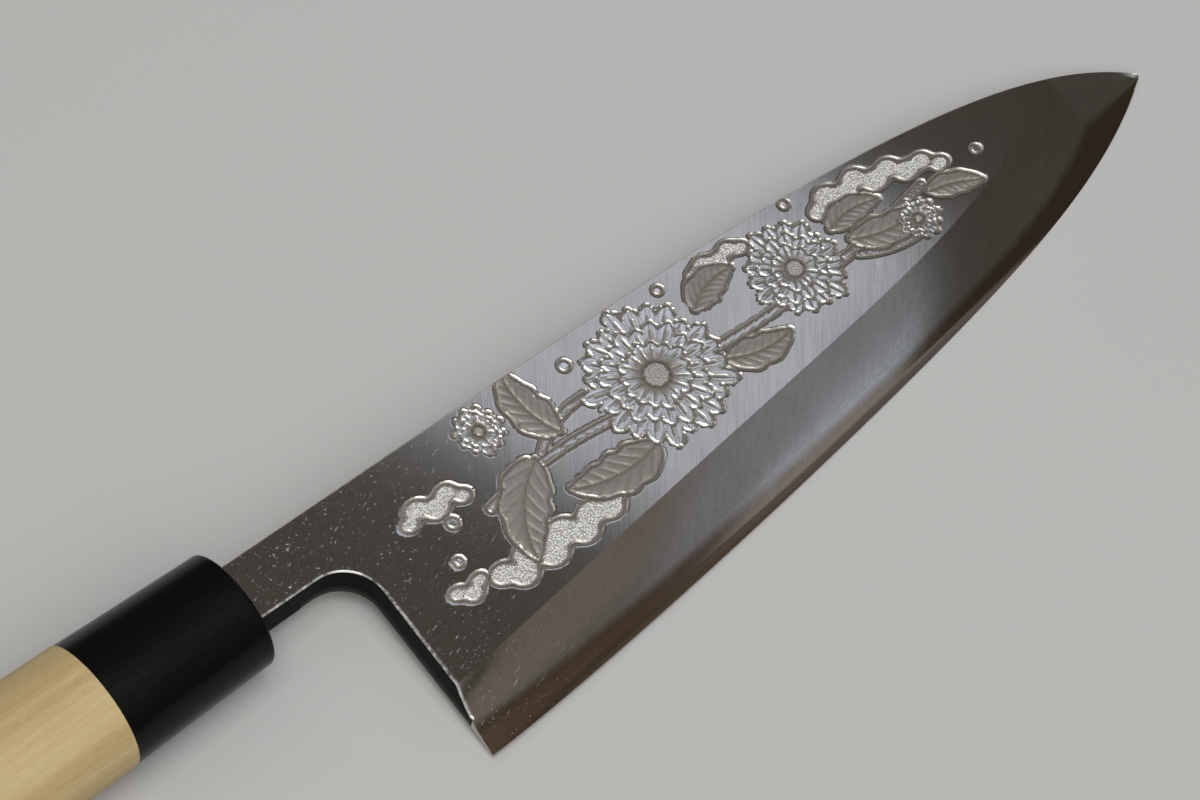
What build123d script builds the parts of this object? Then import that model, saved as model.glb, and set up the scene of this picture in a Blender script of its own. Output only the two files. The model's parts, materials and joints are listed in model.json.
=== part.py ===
from build123d import *
from math import exp, hypot, sqrt
import os

# A single-bevel fish knife (deba) lying on its flat back, in millimetres, +Z up.
# It rests on both ends of the collar and on the belly of the cutting edge, as a knife put down on a
# table does. The row's origin is the bottom centre of the whole knife's box, +X towards the tip.
#
# The knife has its own frame, the plane named knife: its origin is the centre of the collar's front
# face, x runs along the grip to the tip, y rises to the spine and z points out of the front face.
# The blade's back is the flat side at z = -neck_thickness / 2.

os.makedirs("parts", exist_ok=True)

# Blade outline, seen on the front face
heel_x = 21.8
blade_length = 207.2
spine_rise = 6.75
neck_drop = 6.05
heel_depth = 51.7
tip_drop = 15.4
heel_lean_share = 0.059
neck_radius = 8.8
# The spine falls in a long bow and a short hook at the point, the edge rises the same way
spine_bow_share = 0.695
spine_bow_power = 4.57
spine_hook_power = 18
edge_bow_share = 0.70
edge_bow_power = 1.373
edge_hook_power = 8.86

# Blade thickness
neck_thickness = 9.8
edge_thickness = 0.3
taper_share = 0.55
point_taper_share = 0.37
ridge_thinning_share = 0.145
steel_heel_share = 0.27
steel_point_share = 0.20
steel_start_x = 12.0

# Front face above the bevel's ridge, and the bevel's hollow
face_height = 45.4
face_length = 190.5
face_bow_share = 0.507
face_hook_power = 6.6
face_sliver_share = 0.12
bevel_hollow_share = 0.02
heel_hollow_share = 0.10
heel_hollow_reach = 25.0

# Hollow of the flat back
back_hollow_depth = 0.45
back_rim = 3.0
back_hollow_start_x = 34.0
back_hollow_end_x = 208.0
back_hollow_shares = (0.0, 0.12, 0.35, 0.6, 0.82, 1.0)
back_depth_shares = (0.12, 0.7, 1.0, 1.0, 0.6, 0.12)

# Tang inside the grip
tang_length = 92.0
tang_shoulder = 0.9
tang_tail_height = 6.0
tang_tail_thickness = 4.0
bedding_thickness = 0.8
bedding_end = 3.0

# Collar at the mouth of the grip
collar_length = 33.6
collar_front_half_width = 12.7
collar_front_half_thickness = 11.3
collar_rear_half_width = 13.8
collar_front_wall = 5.0
collar_wall = 2.6
collar_rim_radius = 1.1
seal_gap = 0.5

# Wooden grip
grip_end_x = -147.0
grip_swell_share = 0.36
wood_step = 0.12
grip_swell_half_width = 14.6
grip_swell_half_thickness = 12.1
butt_half_width = 15.2
butt_half_thickness = 12.8
butt_radius = 2.0
tenon_gap = 0.05

# Where the sections of the blade stand, as shares of its length
section_shares = (0.0, 0.1, 0.22, 0.35, 0.48, 0.6, 0.7, 0.78, 0.85, 0.905, 0.95, 0.98, 0.998)

# Where along the edge the knife touches the table, and how far cuts run past what they cut
belly_share = 0.79
overrun = 5.0

back_z = -neck_thickness / 2
tip_x = heel_x + blade_length
point_x = heel_x + section_shares[-1] * blade_length


def along(x):
    """Share of the way from the heel to the tip, zero in the neck."""
    return max(0.0, (x - heel_x) / blade_length)


def spine_y(x):
    """Height of the spine: flat at first, then bowed down to the tip."""
    bow = spine_bow_share * along(x) ** spine_bow_power
    hook = (1 - spine_bow_share) * along(x) ** spine_hook_power
    return spine_rise - (spine_rise + tip_drop) * (bow + hook)


def edge_y(x):
    """Height of the cutting edge: nearly straight at the heel, then bowed up to the tip."""
    bow = edge_bow_share * along(x) ** edge_bow_power
    hook = (1 - edge_bow_share) * along(x) ** edge_hook_power
    return (heel_depth - tip_drop) * (bow + hook) - heel_depth


def edge_slope(x):
    """Rise of the cutting edge for each unit along the knife."""
    bow = edge_bow_share * edge_bow_power * along(x) ** (edge_bow_power - 1)
    hook = (1 - edge_bow_share) * edge_hook_power * along(x) ** (edge_hook_power - 1)
    return (heel_depth - tip_drop) / blade_length * (bow + hook)


def thickness(x):
    """Thickness at the spine: full at the collar, tapering ever faster to the tip."""
    reach = x / tip_x
    return neck_thickness * (1 - taper_share * reach - point_taper_share * reach**3)


def steel_thickness(x):
    """Thickness of the hard steel: the edge's own and a share of the rest, less towards the tip."""
    share = steel_heel_share + (steel_point_share - steel_heel_share) * along(x)
    return edge_thickness + share * (thickness(x) - edge_thickness)


def ridge_drop(x):
    """Height of the front face, from the spine down to the bevel's ridge."""
    reach = max(0.0, min(1.0, (x - heel_x) / face_length))
    bow = face_bow_share * reach
    hook = (1 - face_bow_share) * reach**face_hook_power
    sliver = face_sliver_share * (spine_y(x) - edge_y(x))
    return max(face_height * (1 - bow - hook), sliver)


def ridge_z(x):
    """Height of the bevel's ridge above the blade's back: the front face leans in towards it."""
    return thickness(x) * (1 - ridge_thinning_share * ridge_drop(x) / face_height)


def bevel_middle(x):
    """Middle of the bevel, sunk below its chord: a little everywhere and more at the heel."""
    fade = exp(-along(x) * blade_length / heel_hollow_reach)
    sag_share = bevel_hollow_share + (heel_hollow_share - bevel_hollow_share) * fade
    rise = ridge_z(x) - edge_thickness
    width = spine_y(x) - ridge_drop(x) - edge_y(x)
    middle_y = edge_y(x) + width / 2 + sag_share * rise
    middle_z = back_z + edge_thickness + rise / 2 - sag_share * width
    return (middle_y, middle_z)


def heel_line_x(y):
    """The heel's face leans back a little towards the cutting edge."""
    return heel_x + heel_lean_share * (y + heel_depth)


# How the knife lies: the table touches the belly of the edge, whose outward normal is (out_x, out_y),
# and the collar's front rim, an ellipse. Both touch when the table's slope solves the quadratic.
belly_x = heel_x + belly_share * blade_length
out_x = edge_slope(belly_x) / hypot(edge_slope(belly_x), 1)
out_y = -1 / hypot(edge_slope(belly_x), 1)
belly_reach = out_x * belly_x + out_y * edge_y(belly_x)
square_term = belly_reach**2 - (collar_front_half_width * out_y) ** 2
middle_term = belly_reach * neck_thickness
last_term = back_z**2 - collar_front_half_thickness**2
table_slope = (sqrt(middle_term**2 - 4 * square_term * last_term) - middle_term) / (2 * square_term)

# The row's axes, seen in the knife's own frame
up = Vector(-table_slope * out_x, -table_slope * out_y, 1).normalized()
east = (Vector(1, 0, 0) - up * up.X).normalized()
north = up.cross(east)


def ellipse_reach(direction, half_width, half_thickness):
    """How far an ellipse across the grip reaches along a direction of the knife's frame."""
    return hypot(direction.Y * half_width, direction.Z * half_thickness)


# The box of the whole knife, from the tip to the butt, the grip's side to the heel's corner
tip_reach = east.dot(Vector(point_x, -tip_drop, back_z))
butt_reach = ellipse_reach(east, butt_half_width, butt_half_thickness) - east.X * grip_end_x
spine_side_reach = ellipse_reach(north, butt_half_width, butt_half_thickness) + north.X * grip_end_x
heel_side_reach = -north.dot(Vector(heel_x, -heel_depth, back_z))
row_x = (butt_reach - tip_reach) / 2
row_y = (heel_side_reach - spine_side_reach) / 2
row_z = ellipse_reach(up, collar_front_half_width, collar_front_half_thickness)

# The grip is as thick behind the collar as lets its front end lie on the table too
wood_front_half_width = collar_rear_half_width + wood_step
wood_front_reach = row_z - up.X * collar_length
wood_front_half_thickness = sqrt(wood_front_reach**2 - (up.Y * wood_front_half_width) ** 2) / up.Z
collar_rear_half_thickness = wood_front_half_thickness - wood_step

knife = Plane(
    origin=(row_x, row_y, row_z),
    x_dir=(east.X, north.X, up.X),
    z_dir=(east.Z, north.Z, up.Z),
)
side = Plane(origin=knife.origin, x_dir=knife.x_dir, z_dir=-knife.y_dir)


def across(x):
    """Plane across the knife at x, whose own x and y are the knife's y and z."""
    return Plane(origin=knife.from_local_coords((x, 0, 0)), x_dir=knife.y_dir, z_dir=knife.x_dir)


# Sizes that several pieces share
neck_height = spine_rise + neck_drop
neck_middle_y = (spine_rise - neck_drop) / 2
slot_height = neck_height + 2 * seal_gap
slot_thickness = neck_thickness + 2 * seal_gap
tang_height = neck_height - 2 * tang_shoulder
tang_thickness = neck_thickness - 2 * tang_shoulder
tang_end_x = -collar_front_wall - tang_length
bore_end_x = tang_end_x - bedding_end
tenon_half_width = collar_front_half_width - collar_wall
tenon_half_thickness = collar_front_half_thickness - collar_wall


# The whole blade before it is told apart into iron and steel
with BuildPart() as blade_blank:
    for x in [0] + [heel_x + share * blade_length for share in section_shares]:
        ridge_y = spine_y(x) - ridge_drop(x)
        with BuildSketch(across(x)):
            with BuildLine():
                Polyline(
                    (edge_y(x), back_z + edge_thickness),
                    (edge_y(x), back_z - overrun),
                    (spine_y(x), back_z - overrun),
                    (spine_y(x), back_z + thickness(x)),
                    (ridge_y, back_z + ridge_z(x)),
                )
                ThreePointArc(
                    (ridge_y, back_z + ridge_z(x)),
                    bevel_middle(x),
                    (edge_y(x), back_z + edge_thickness),
                )
            make_face()
    loft()
    # The back is ground flat
    split(bisect_by=knife.offset(back_z), keep=Keep.TOP)
    # The gap between the collar and the heel, rounded where the neck meets the heel
    with BuildSketch(knife):
        with BuildLine():
            Polyline(
                (-collar_front_wall - overrun, -neck_drop),
                (heel_line_x(-neck_drop), -neck_drop),
                (heel_line_x(-heel_depth - overrun), -heel_depth - overrun),
                (-collar_front_wall - overrun, -heel_depth - overrun),
                close=True,
            )
        make_face()
        fillet(vertices().group_by(Axis.Y)[-1].sort_by(Axis.X)[-1], neck_radius)
    extrude(amount=neck_thickness, both=True, mode=Mode.SUBTRACT)

# The shallow hollow ground into the back, deepest in the middle, with a flat rim all round
with BuildPart() as back_hollow:
    for share, depth_share in zip(back_hollow_shares, back_depth_shares):
        x = back_hollow_start_x + share * (back_hollow_end_x - back_hollow_start_x)
        low_y = edge_y(x) + back_rim
        high_y = spine_y(x) - back_rim
        with BuildSketch(across(x)):
            with BuildLine():
                Polyline(
                    (low_y, back_z),
                    (low_y, back_z - overrun),
                    (high_y, back_z - overrun),
                    (high_y, back_z),
                )
                ThreePointArc(
                    (low_y, back_z),
                    ((low_y + high_y) / 2, back_z + depth_share * back_hollow_depth),
                    (high_y, back_z),
                )
            make_face()
    loft()

# What lies under the forge weld, from the neck to the tip
with BuildPart() as steel_zone:
    weld_xs = [steel_start_x + share * (tip_x - steel_start_x) for share in section_shares[::3]]
    weld_points = [(x, back_z + steel_thickness(x)) for x in weld_xs + [tip_x + overrun]]
    with BuildSketch(side):
        with BuildLine():
            Spline(*weld_points)
            Polyline(
                weld_points[-1],
                (tip_x + overrun, back_z - overrun),
                (steel_start_x, back_z - overrun),
                weld_points[0],
            )
        make_face()
    extrude(amount=heel_depth + overrun, both=True)

# Soft iron: front face, bevel above the steel, neck and tang
with BuildPart() as blade_iron:
    add(blade_blank)
    add(steel_zone, mode=Mode.SUBTRACT)
    with BuildSketch(across(0)):
        with Locations((neck_middle_y, 0)):
            Rectangle(neck_height, neck_thickness)
    extrude(amount=-collar_front_wall)
    with BuildSketch(across(-collar_front_wall)):
        with Locations((neck_middle_y, 0)):
            Rectangle(tang_height, tang_thickness)
    with BuildSketch(across(tang_end_x)):
        with Locations((neck_middle_y, 0)):
            Rectangle(tang_tail_height, tang_tail_thickness)
    loft()
blade_iron.part.label = "blade_iron"
export_step(blade_iron.part, "parts/blade_iron.step")

# Hard steel: the whole back and the cutting edge
with BuildPart() as edge_steel:
    add(blade_blank)
    add(steel_zone, mode=Mode.INTERSECT)
    add(back_hollow, mode=Mode.SUBTRACT)
edge_steel.part.label = "edge_steel"
export_step(edge_steel.part, "parts/edge_steel.step")

# Black collar: a cap with a slot for the neck in its front wall and a bore for the wood
with BuildPart() as ferrule:
    with BuildSketch(across(0)):
        Ellipse(collar_front_half_width, collar_front_half_thickness)
    with BuildSketch(across(-collar_length)):
        Ellipse(collar_rear_half_width, collar_rear_half_thickness)
    loft()
    front_rim = edges().filter_by(lambda edge: knife.to_local_coords(edge.center()).X > -collar_rim_radius)
    fillet(front_rim, collar_rim_radius)
    with BuildSketch(across(0)):
        with Locations((neck_middle_y, 0)):
            Rectangle(slot_height, slot_thickness)
    extrude(amount=-collar_front_wall, mode=Mode.SUBTRACT)
    with BuildSketch(across(-collar_front_wall)):
        Ellipse(tenon_half_width, tenon_half_thickness)
    extrude(amount=-collar_length, mode=Mode.SUBTRACT)
ferrule.part.label = "ferrule"
export_step(ferrule.part, "parts/ferrule.step")

# Tapered hole for the tang with its bedding
with BuildPart() as tang_bore:
    with BuildSketch(across(-collar_front_wall)):
        with Locations((neck_middle_y, 0)):
            Rectangle(tang_height + 2 * bedding_thickness, tang_thickness + 2 * bedding_thickness)
    with BuildSketch(across(bore_end_x)):
        with Locations((neck_middle_y, 0)):
            Rectangle(
                tang_tail_height + 2 * bedding_thickness,
                tang_tail_thickness + 2 * bedding_thickness,
            )
    loft()

# Wooden grip: swelling slightly to the butt, with a tenon that fills the collar
with BuildPart() as handle:
    with BuildSketch(across(-collar_length)):
        Ellipse(wood_front_half_width, wood_front_half_thickness)
    with BuildSketch(across(-collar_length + grip_swell_share * (grip_end_x + collar_length))):
        Ellipse(grip_swell_half_width, grip_swell_half_thickness)
    with BuildSketch(across(grip_end_x)):
        Ellipse(butt_half_width, butt_half_thickness)
    loft()
    butt_rim = edges().filter_by(lambda edge: knife.to_local_coords(edge.center()).X < grip_end_x + butt_radius)
    fillet(butt_rim, butt_radius)
    with BuildSketch(across(-collar_front_wall)):
        Ellipse(tenon_half_width - tenon_gap, tenon_half_thickness - tenon_gap)
    extrude(amount=collar_front_wall - collar_length)
    add(tang_bore, mode=Mode.SUBTRACT)
handle.part.label = "handle"
export_step(handle.part, "parts/handle.step")

# Resin that fills the hole round the tang
with BuildPart() as tang_bedding:
    add(tang_bore)
    add(blade_iron, mode=Mode.SUBTRACT)
tang_bedding.part.label = "tang_bedding"
export_step(tang_bedding.part, "parts/tang_bedding.step")

# Resin that seals the slot round the neck
with BuildPart() as mouth_seal:
    with BuildSketch(across(0)):
        with Locations((neck_middle_y, 0)):
            Rectangle(slot_height, slot_thickness)
            Rectangle(neck_height, neck_thickness, mode=Mode.SUBTRACT)
    extrude(amount=-collar_front_wall)
mouth_seal.part.label = "mouth_seal"
export_step(mouth_seal.part, "parts/mouth_seal.step")
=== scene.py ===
import json
import logging
import math
from dataclasses import dataclass, field
from enum import Enum
from typing import Iterable, Optional, Sequence

import bmesh
import bpy
import numpy as np
from mathutils import Matrix, Vector


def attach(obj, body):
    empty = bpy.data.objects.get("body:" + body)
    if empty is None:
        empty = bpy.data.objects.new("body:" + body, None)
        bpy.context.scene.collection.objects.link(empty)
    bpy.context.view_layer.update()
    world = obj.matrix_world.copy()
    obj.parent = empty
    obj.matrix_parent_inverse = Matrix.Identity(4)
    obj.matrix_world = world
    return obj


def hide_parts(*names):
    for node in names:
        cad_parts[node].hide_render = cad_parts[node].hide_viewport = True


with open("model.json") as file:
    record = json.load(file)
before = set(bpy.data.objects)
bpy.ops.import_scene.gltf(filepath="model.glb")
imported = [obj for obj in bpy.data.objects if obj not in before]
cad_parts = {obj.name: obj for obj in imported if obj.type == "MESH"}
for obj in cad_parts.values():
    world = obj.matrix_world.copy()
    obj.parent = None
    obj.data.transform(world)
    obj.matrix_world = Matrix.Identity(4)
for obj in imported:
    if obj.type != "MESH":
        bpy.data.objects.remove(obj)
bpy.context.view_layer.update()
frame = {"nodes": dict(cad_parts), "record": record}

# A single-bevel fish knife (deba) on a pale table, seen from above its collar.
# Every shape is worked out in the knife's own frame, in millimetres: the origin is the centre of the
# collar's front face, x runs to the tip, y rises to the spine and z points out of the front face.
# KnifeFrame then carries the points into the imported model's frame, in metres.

log = logging.getLogger("deba")
MM = 0.001
Colour = tuple[float, float, float]


def smooth(value: np.ndarray) -> np.ndarray:
    """Rise from 0 to 1 with flat ends: 3 v squared less 2 v cubed, with v held between 0 and 1."""
    held = np.clip(value, 0.0, 1.0)
    return held * held * (3.0 - 2.0 * held)


def bell(distance: np.ndarray, width: float) -> np.ndarray:
    """A line's soft profile: 1 on the line, falling as a bell curve of the given width."""
    return np.exp(-np.square(distance / width))


def stack(x: np.ndarray, y: np.ndarray, z: np.ndarray) -> np.ndarray:
    """Joins three arrays, stretched to one shape, into points."""
    return np.stack(np.broadcast_arrays(x, y, z), axis=-1).astype(float)


# The knife's frame and the blade's lines


@dataclass(frozen=True)
class KnifeFrame:
    """The knife's own frame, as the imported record's mounts give it."""

    origin: np.ndarray
    axes: np.ndarray

    @classmethod
    def from_record(cls, record: dict, grip_length: float) -> "KnifeFrame":
        """Reads the frame from the butt's and the back's flat faces.

        Args:
            record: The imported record, whose mounts are in metres.
            grip_length: From the butt to the collar's front face, in millimetres.

        Returns:
            The frame, with its axes as rows.
        """
        mounts = {mount["name"]: mount for mount in record["mounts"]}
        along = -np.array(mounts["butt"]["axis"], float)
        outward = -np.array(mounts["flat_back"]["axis"], float)
        origin = np.array(mounts["butt"]["pos_m"], float) + along * grip_length * MM
        return cls(origin, np.stack([along, np.cross(outward, along), outward]))

    def to_row(self, points: np.ndarray) -> np.ndarray:
        """Points of the knife's frame, in millimetres, as points of the model, in metres."""
        return self.origin + np.asarray(points, float) @ self.axes * MM

    def turn(self, direction: Sequence[float]) -> Vector:
        """A direction of the knife's frame as one of the model's."""
        return Vector(np.asarray(direction, float) @ self.axes).normalized()


@dataclass(frozen=True)
class BladeLines:
    """The blade's outline, thickness and bevel as formulas along the knife, in millimetres."""

    heel_x: float = 21.8
    length: float = 207.2
    spine_rise: float = 6.75
    neck_drop: float = 6.05
    neck_start_x: float = -5.0
    heel_depth: float = 51.7
    tip_drop: float = 15.4
    heel_lean_share: float = 0.059
    neck_radius: float = 8.8
    spine_bow_share: float = 0.695
    spine_bow_power: float = 4.57
    spine_hook_power: float = 18.0
    edge_bow_share: float = 0.70
    edge_bow_power: float = 1.373
    edge_hook_power: float = 8.86
    neck_thickness: float = 9.8
    edge_thickness: float = 0.3
    taper_share: float = 0.55
    point_taper_share: float = 0.37
    ridge_thinning_share: float = 0.145
    steel_heel_share: float = 0.27
    steel_point_share: float = 0.20
    steel_start_x: float = 12.0
    face_height: float = 45.4
    face_length: float = 190.5
    face_bow_share: float = 0.507
    face_hook_power: float = 6.6
    face_sliver_share: float = 0.04
    bevel_hollow_share: float = 0.02
    heel_hollow_share: float = 0.10
    heel_hollow_reach: float = 25.0
    end_share: float = 0.998
    chamfer: float = 0.28
    full_height: float = 20.0

    @property
    def back_z(self) -> float:
        """Height of the flat back."""
        return -self.neck_thickness / 2

    @property
    def point_x(self) -> float:
        """Where the blade ends."""
        return self.heel_x + self.end_share * self.length

    @property
    def fillet_centre(self) -> tuple[float, float]:
        """Centre of the round between the neck's underside and the heel's face.

        Returns:
            Its x and y.
        """
        y = -self.neck_drop - self.neck_radius
        reach = self.neck_radius * math.hypot(1.0, self.heel_lean_share)
        return float(self.heel_line_x(y)) - reach, y

    @property
    def fillet_end(self) -> tuple[float, float]:
        """Where that round meets the heel's face.

        Returns:
            Its x and y.
        """
        x, y = self.fillet_centre
        steep = math.hypot(1.0, self.heel_lean_share)
        return x + self.neck_radius / steep, y - self.neck_radius * self.heel_lean_share / steep

    def along(self, x: np.ndarray) -> np.ndarray:
        """Share of the way from the heel to the tip, zero in the neck."""
        return np.clip((np.asarray(x, float) - self.heel_x) / self.length, 0.0, 1.0)

    def spine_y(self, x: np.ndarray) -> np.ndarray:
        """Height of the spine: a constant less two powers of the share along the blade.

        Args:
            x: Place along the knife.

        Returns:
            The y at each place.
        """
        share = self.along(x)
        bow = self.spine_bow_share * share**self.spine_bow_power
        hook = (1 - self.spine_bow_share) * share**self.spine_hook_power
        return self.spine_rise - (self.spine_rise + self.tip_drop) * (bow + hook)

    def edge_y(self, x: np.ndarray) -> np.ndarray:
        """Height of the cutting edge: the heel's depth less two powers of the share along.

        Args:
            x: Place along the knife.

        Returns:
            The y at each place.
        """
        share = self.along(x)
        bow = self.edge_bow_share * share**self.edge_bow_power
        hook = (1 - self.edge_bow_share) * share**self.edge_hook_power
        return (self.heel_depth - self.tip_drop) * (bow + hook) - self.heel_depth

    def thickness(self, x: np.ndarray) -> np.ndarray:
        """Thickness at the spine: full at the collar, less a line and a cube along the knife."""
        reach = np.clip(np.asarray(x, float) / (self.heel_x + self.length), 0.0, 1.0)
        return self.neck_thickness * (1 - self.taper_share * reach - self.point_taper_share * reach**3)

    def weld_z(self, x: np.ndarray) -> np.ndarray:
        """Height of the forge weld: the edge's own thickness and a share of the rest.

        Args:
            x: Place along the knife.

        Returns:
            The z at each place.
        """
        spread = self.steel_point_share - self.steel_heel_share
        share = self.steel_heel_share + spread * self.along(x)
        rest = self.thickness(x) - self.edge_thickness
        return self.back_z + self.edge_thickness + share * rest

    def ridge_drop(self, x: np.ndarray) -> np.ndarray:
        """Height of the front face, from the spine down to the bevel's ridge.

        Args:
            x: Place along the knife.

        Returns:
            The face's height at each place.
        """
        reach = np.clip((np.asarray(x, float) - self.heel_x) / self.face_length, 0.0, 1.0)
        hook = (1 - self.face_bow_share) * reach**self.face_hook_power
        sliver = self.face_sliver_share * (self.spine_y(x) - self.edge_y(x))
        return np.maximum(self.face_height * (1 - self.face_bow_share * reach - hook), sliver)

    def face_z(self, x: np.ndarray, drop: np.ndarray) -> np.ndarray:
        """Height of the front face a given way below the spine: it leans in towards the ridge."""
        lean = self.ridge_thinning_share * drop / self.face_height
        return self.back_z + self.thickness(x) * (1 - lean)

    def hollow_share(self, x: np.ndarray) -> np.ndarray:
        """How far the bevel's middle lies below its chord: more at the heel, fading along."""
        fade = np.exp(-self.along(x) * self.length / self.heel_hollow_reach)
        return self.bevel_hollow_share + (self.heel_hollow_share - self.bevel_hollow_share) * fade

    def bevel(self, x: np.ndarray, way: np.ndarray) -> tuple[np.ndarray, np.ndarray]:
        """The bevel's section: the chord from the ridge to the edge, sunk as a parabola.

        Args:
            x: Place along the knife.
            way: 0 at the ridge and 1 at the cutting edge.

        Returns:
            The y and z of each point.
        """
        drop = self.ridge_drop(x)
        ridge_y = self.spine_y(x) - drop
        ridge_z = self.face_z(x, drop)
        rise = ridge_z - self.back_z - self.edge_thickness
        width = ridge_y - self.edge_y(x)
        sag = 4 * way * (1 - way) * self.hollow_share(x)
        return ridge_y - way * width + sag * rise, ridge_z - way * rise - sag * width

    def weld_way(self, x: np.ndarray) -> np.ndarray:
        """Where the forge weld comes out on the bevel: the root of the bevel's parabola in z.

        Args:
            x: Place along the knife.

        Returns:
            The share of the bevel's width at each place, 0 at the ridge.
        """
        drop = self.ridge_drop(x)
        rise = self.face_z(x, drop) - self.back_z - self.edge_thickness
        width = self.spine_y(x) - drop - self.edge_y(x)
        sag = 4 * self.hollow_share(x) * width
        above = self.face_z(x, drop) - self.weld_z(x)
        slope = rise + sag
        return 2 * above / (slope + np.sqrt(np.maximum(slope**2 - 4 * sag * above, 0.0)))

    def heel_line_x(self, y: np.ndarray) -> np.ndarray:
        """The heel's face: a line that leans back a little towards the edge."""
        return self.heel_x + self.heel_lean_share * (y + self.heel_depth)

    def narrowing(self, x: np.ndarray) -> np.ndarray:
        """Share by which fine features shrink where the blade narrows to its tip."""
        return np.clip((self.spine_y(x) - self.edge_y(x)) / self.full_height, 0.02, 1.0)

    def chamfer_at(self, x: np.ndarray) -> np.ndarray:
        """The broken corner between face and spine, finer where the tip narrows."""
        return self.chamfer * self.narrowing(x)


# Meshes


@dataclass
class Weave:
    """A mesh in the making: grids of points and flat faces, in the knife's frame, with point values."""

    points: list[np.ndarray] = field(default_factory=list)
    quads: list[np.ndarray] = field(default_factory=list)
    flats: list[list[int]] = field(default_factory=list)
    values: dict[str, list[np.ndarray]] = field(default_factory=dict)
    count: int = 0
    same_spot: float = 0.004
    merge_gap: float = 2e-6
    least_edge: float = 1e-7

    def grid(self, points: np.ndarray, wrap: bool = False, **values: object) -> np.ndarray:
        """Adds a surface of two parameters: quad (i, j) joins points i, i+1 and j, j+1.

        Args:
            points: Array of rows by columns by 3.
            wrap: Whether the last column joins the first.
            values: Point values by name, each an array of rows by columns or a number.

        Returns:
            The points' numbers, as rows by columns.
        """
        rows, columns = points.shape[:2]
        ids = self.count + np.arange(rows * columns).reshape(rows, columns)
        self.points.append(points.reshape(-1, 3))
        self.count += rows * columns
        right = np.roll(ids, -1, axis=1) if wrap else ids[:, 1:]
        left = ids if wrap else ids[:, :-1]
        corners = (left[:-1], right[:-1], right[1:], left[1:])
        self.quads.append(np.stack(corners, axis=-1).reshape(-1, 4))
        for name in sorted(set(self.values) | set(values)):
            done = self.values.setdefault(name, [])
            missing = int(ids[0, 0]) - sum(part.size for part in done)
            if missing:
                done.append(np.zeros(missing))
            value = np.broadcast_to(values.get(name, 0.0), (rows, columns))
            done.append(np.array(value, float).reshape(-1))
        return ids

    def flat(self, ids: Iterable[int]) -> None:
        """Adds one flat face with the given corner points."""
        self.flats.append([int(i) for i in ids])

    def strongest(self, own: np.ndarray, values: np.ndarray) -> np.ndarray:
        """Gives points that lie on one spot the greatest of their values.

        Args:
            own: All points, in the knife's frame.
            values: One value for each point.

        Returns:
            The values to store.
        """
        cells = np.round(own / self.same_spot).astype(np.int64)
        spots = np.unique(cells, axis=0, return_inverse=True)[1].reshape(-1)
        best = np.full(len(own), -np.inf)
        np.maximum.at(best, spots, values)
        return best[spots].astype(np.float32)

    def build(self, name: str, knife: KnifeFrame, crease: float = 38.0) -> bpy.types.Object:
        """Makes the object: points merged, faces turned outwards, sharp where they meet steeply.

        Merging can leave a sliver that stands on an edge of two other faces, with a free edge of its
        own. Such flaps are taken out, so that the surface is closed. Edges of the ridge stay sharp.

        Args:
            name: The piece's name.
            knife: The frame that carries the points to the model.
            crease: Angle between faces, in degrees, past which an edge stays sharp.

        Returns:
            The new object, at the origin, with its place in its mesh.
        """
        mesh = bpy.data.meshes.new(name)
        own = np.concatenate(self.points)
        quads = np.concatenate(self.quads)
        mesh.from_pydata(knife.to_row(own).tolist(), [], quads.tolist() + self.flats)
        for key, parts in self.values.items():
            attribute = mesh.attributes.new(key, "FLOAT", "POINT")
            attribute.data.foreach_set("value", self.strongest(own, np.concatenate(parts)))
        place = mesh.attributes.new("place", "FLOAT_VECTOR", "POINT")
        place.data.foreach_set("vector", own.astype(np.float32).reshape(-1))
        work = bmesh.new()
        work.from_mesh(mesh)
        bmesh.ops.remove_doubles(work, verts=work.verts, dist=self.merge_gap)
        bmesh.ops.dissolve_degenerate(work, edges=work.edges, dist=self.least_edge)
        flaps = [face for face in work.faces
                 if {1, 3} <= {len(edge.link_faces) for edge in face.edges}]
        bmesh.ops.delete(work, geom=flaps, context="FACES")
        bmesh.ops.recalc_face_normals(work, faces=work.faces)
        limit = math.radians(crease)
        ridge = work.verts.layers.float.get("ridge")
        for edge in work.edges:
            folded = ridge is not None and all(vert[ridge] > 0.5 for vert in edge.verts)
            shallow = len(edge.link_faces) == 2 and edge.calc_face_angle(0.0) < limit
            edge.smooth = shallow and not folded
        for face in work.faces:
            face.smooth = True
        loose = sum(1 for edge in work.edges if len(edge.link_faces) != 2)
        work.to_mesh(mesh)
        work.free()
        piece = bpy.data.objects.new(name, mesh)
        bpy.context.scene.collection.objects.link(piece)
        log.info("%s: %d points, %d faces, %d open edges", name, len(mesh.vertices),
                 len(mesh.polygons), loose)
        return piece


# The engraving: a spray of blooms and leaves among drifting clouds


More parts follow.
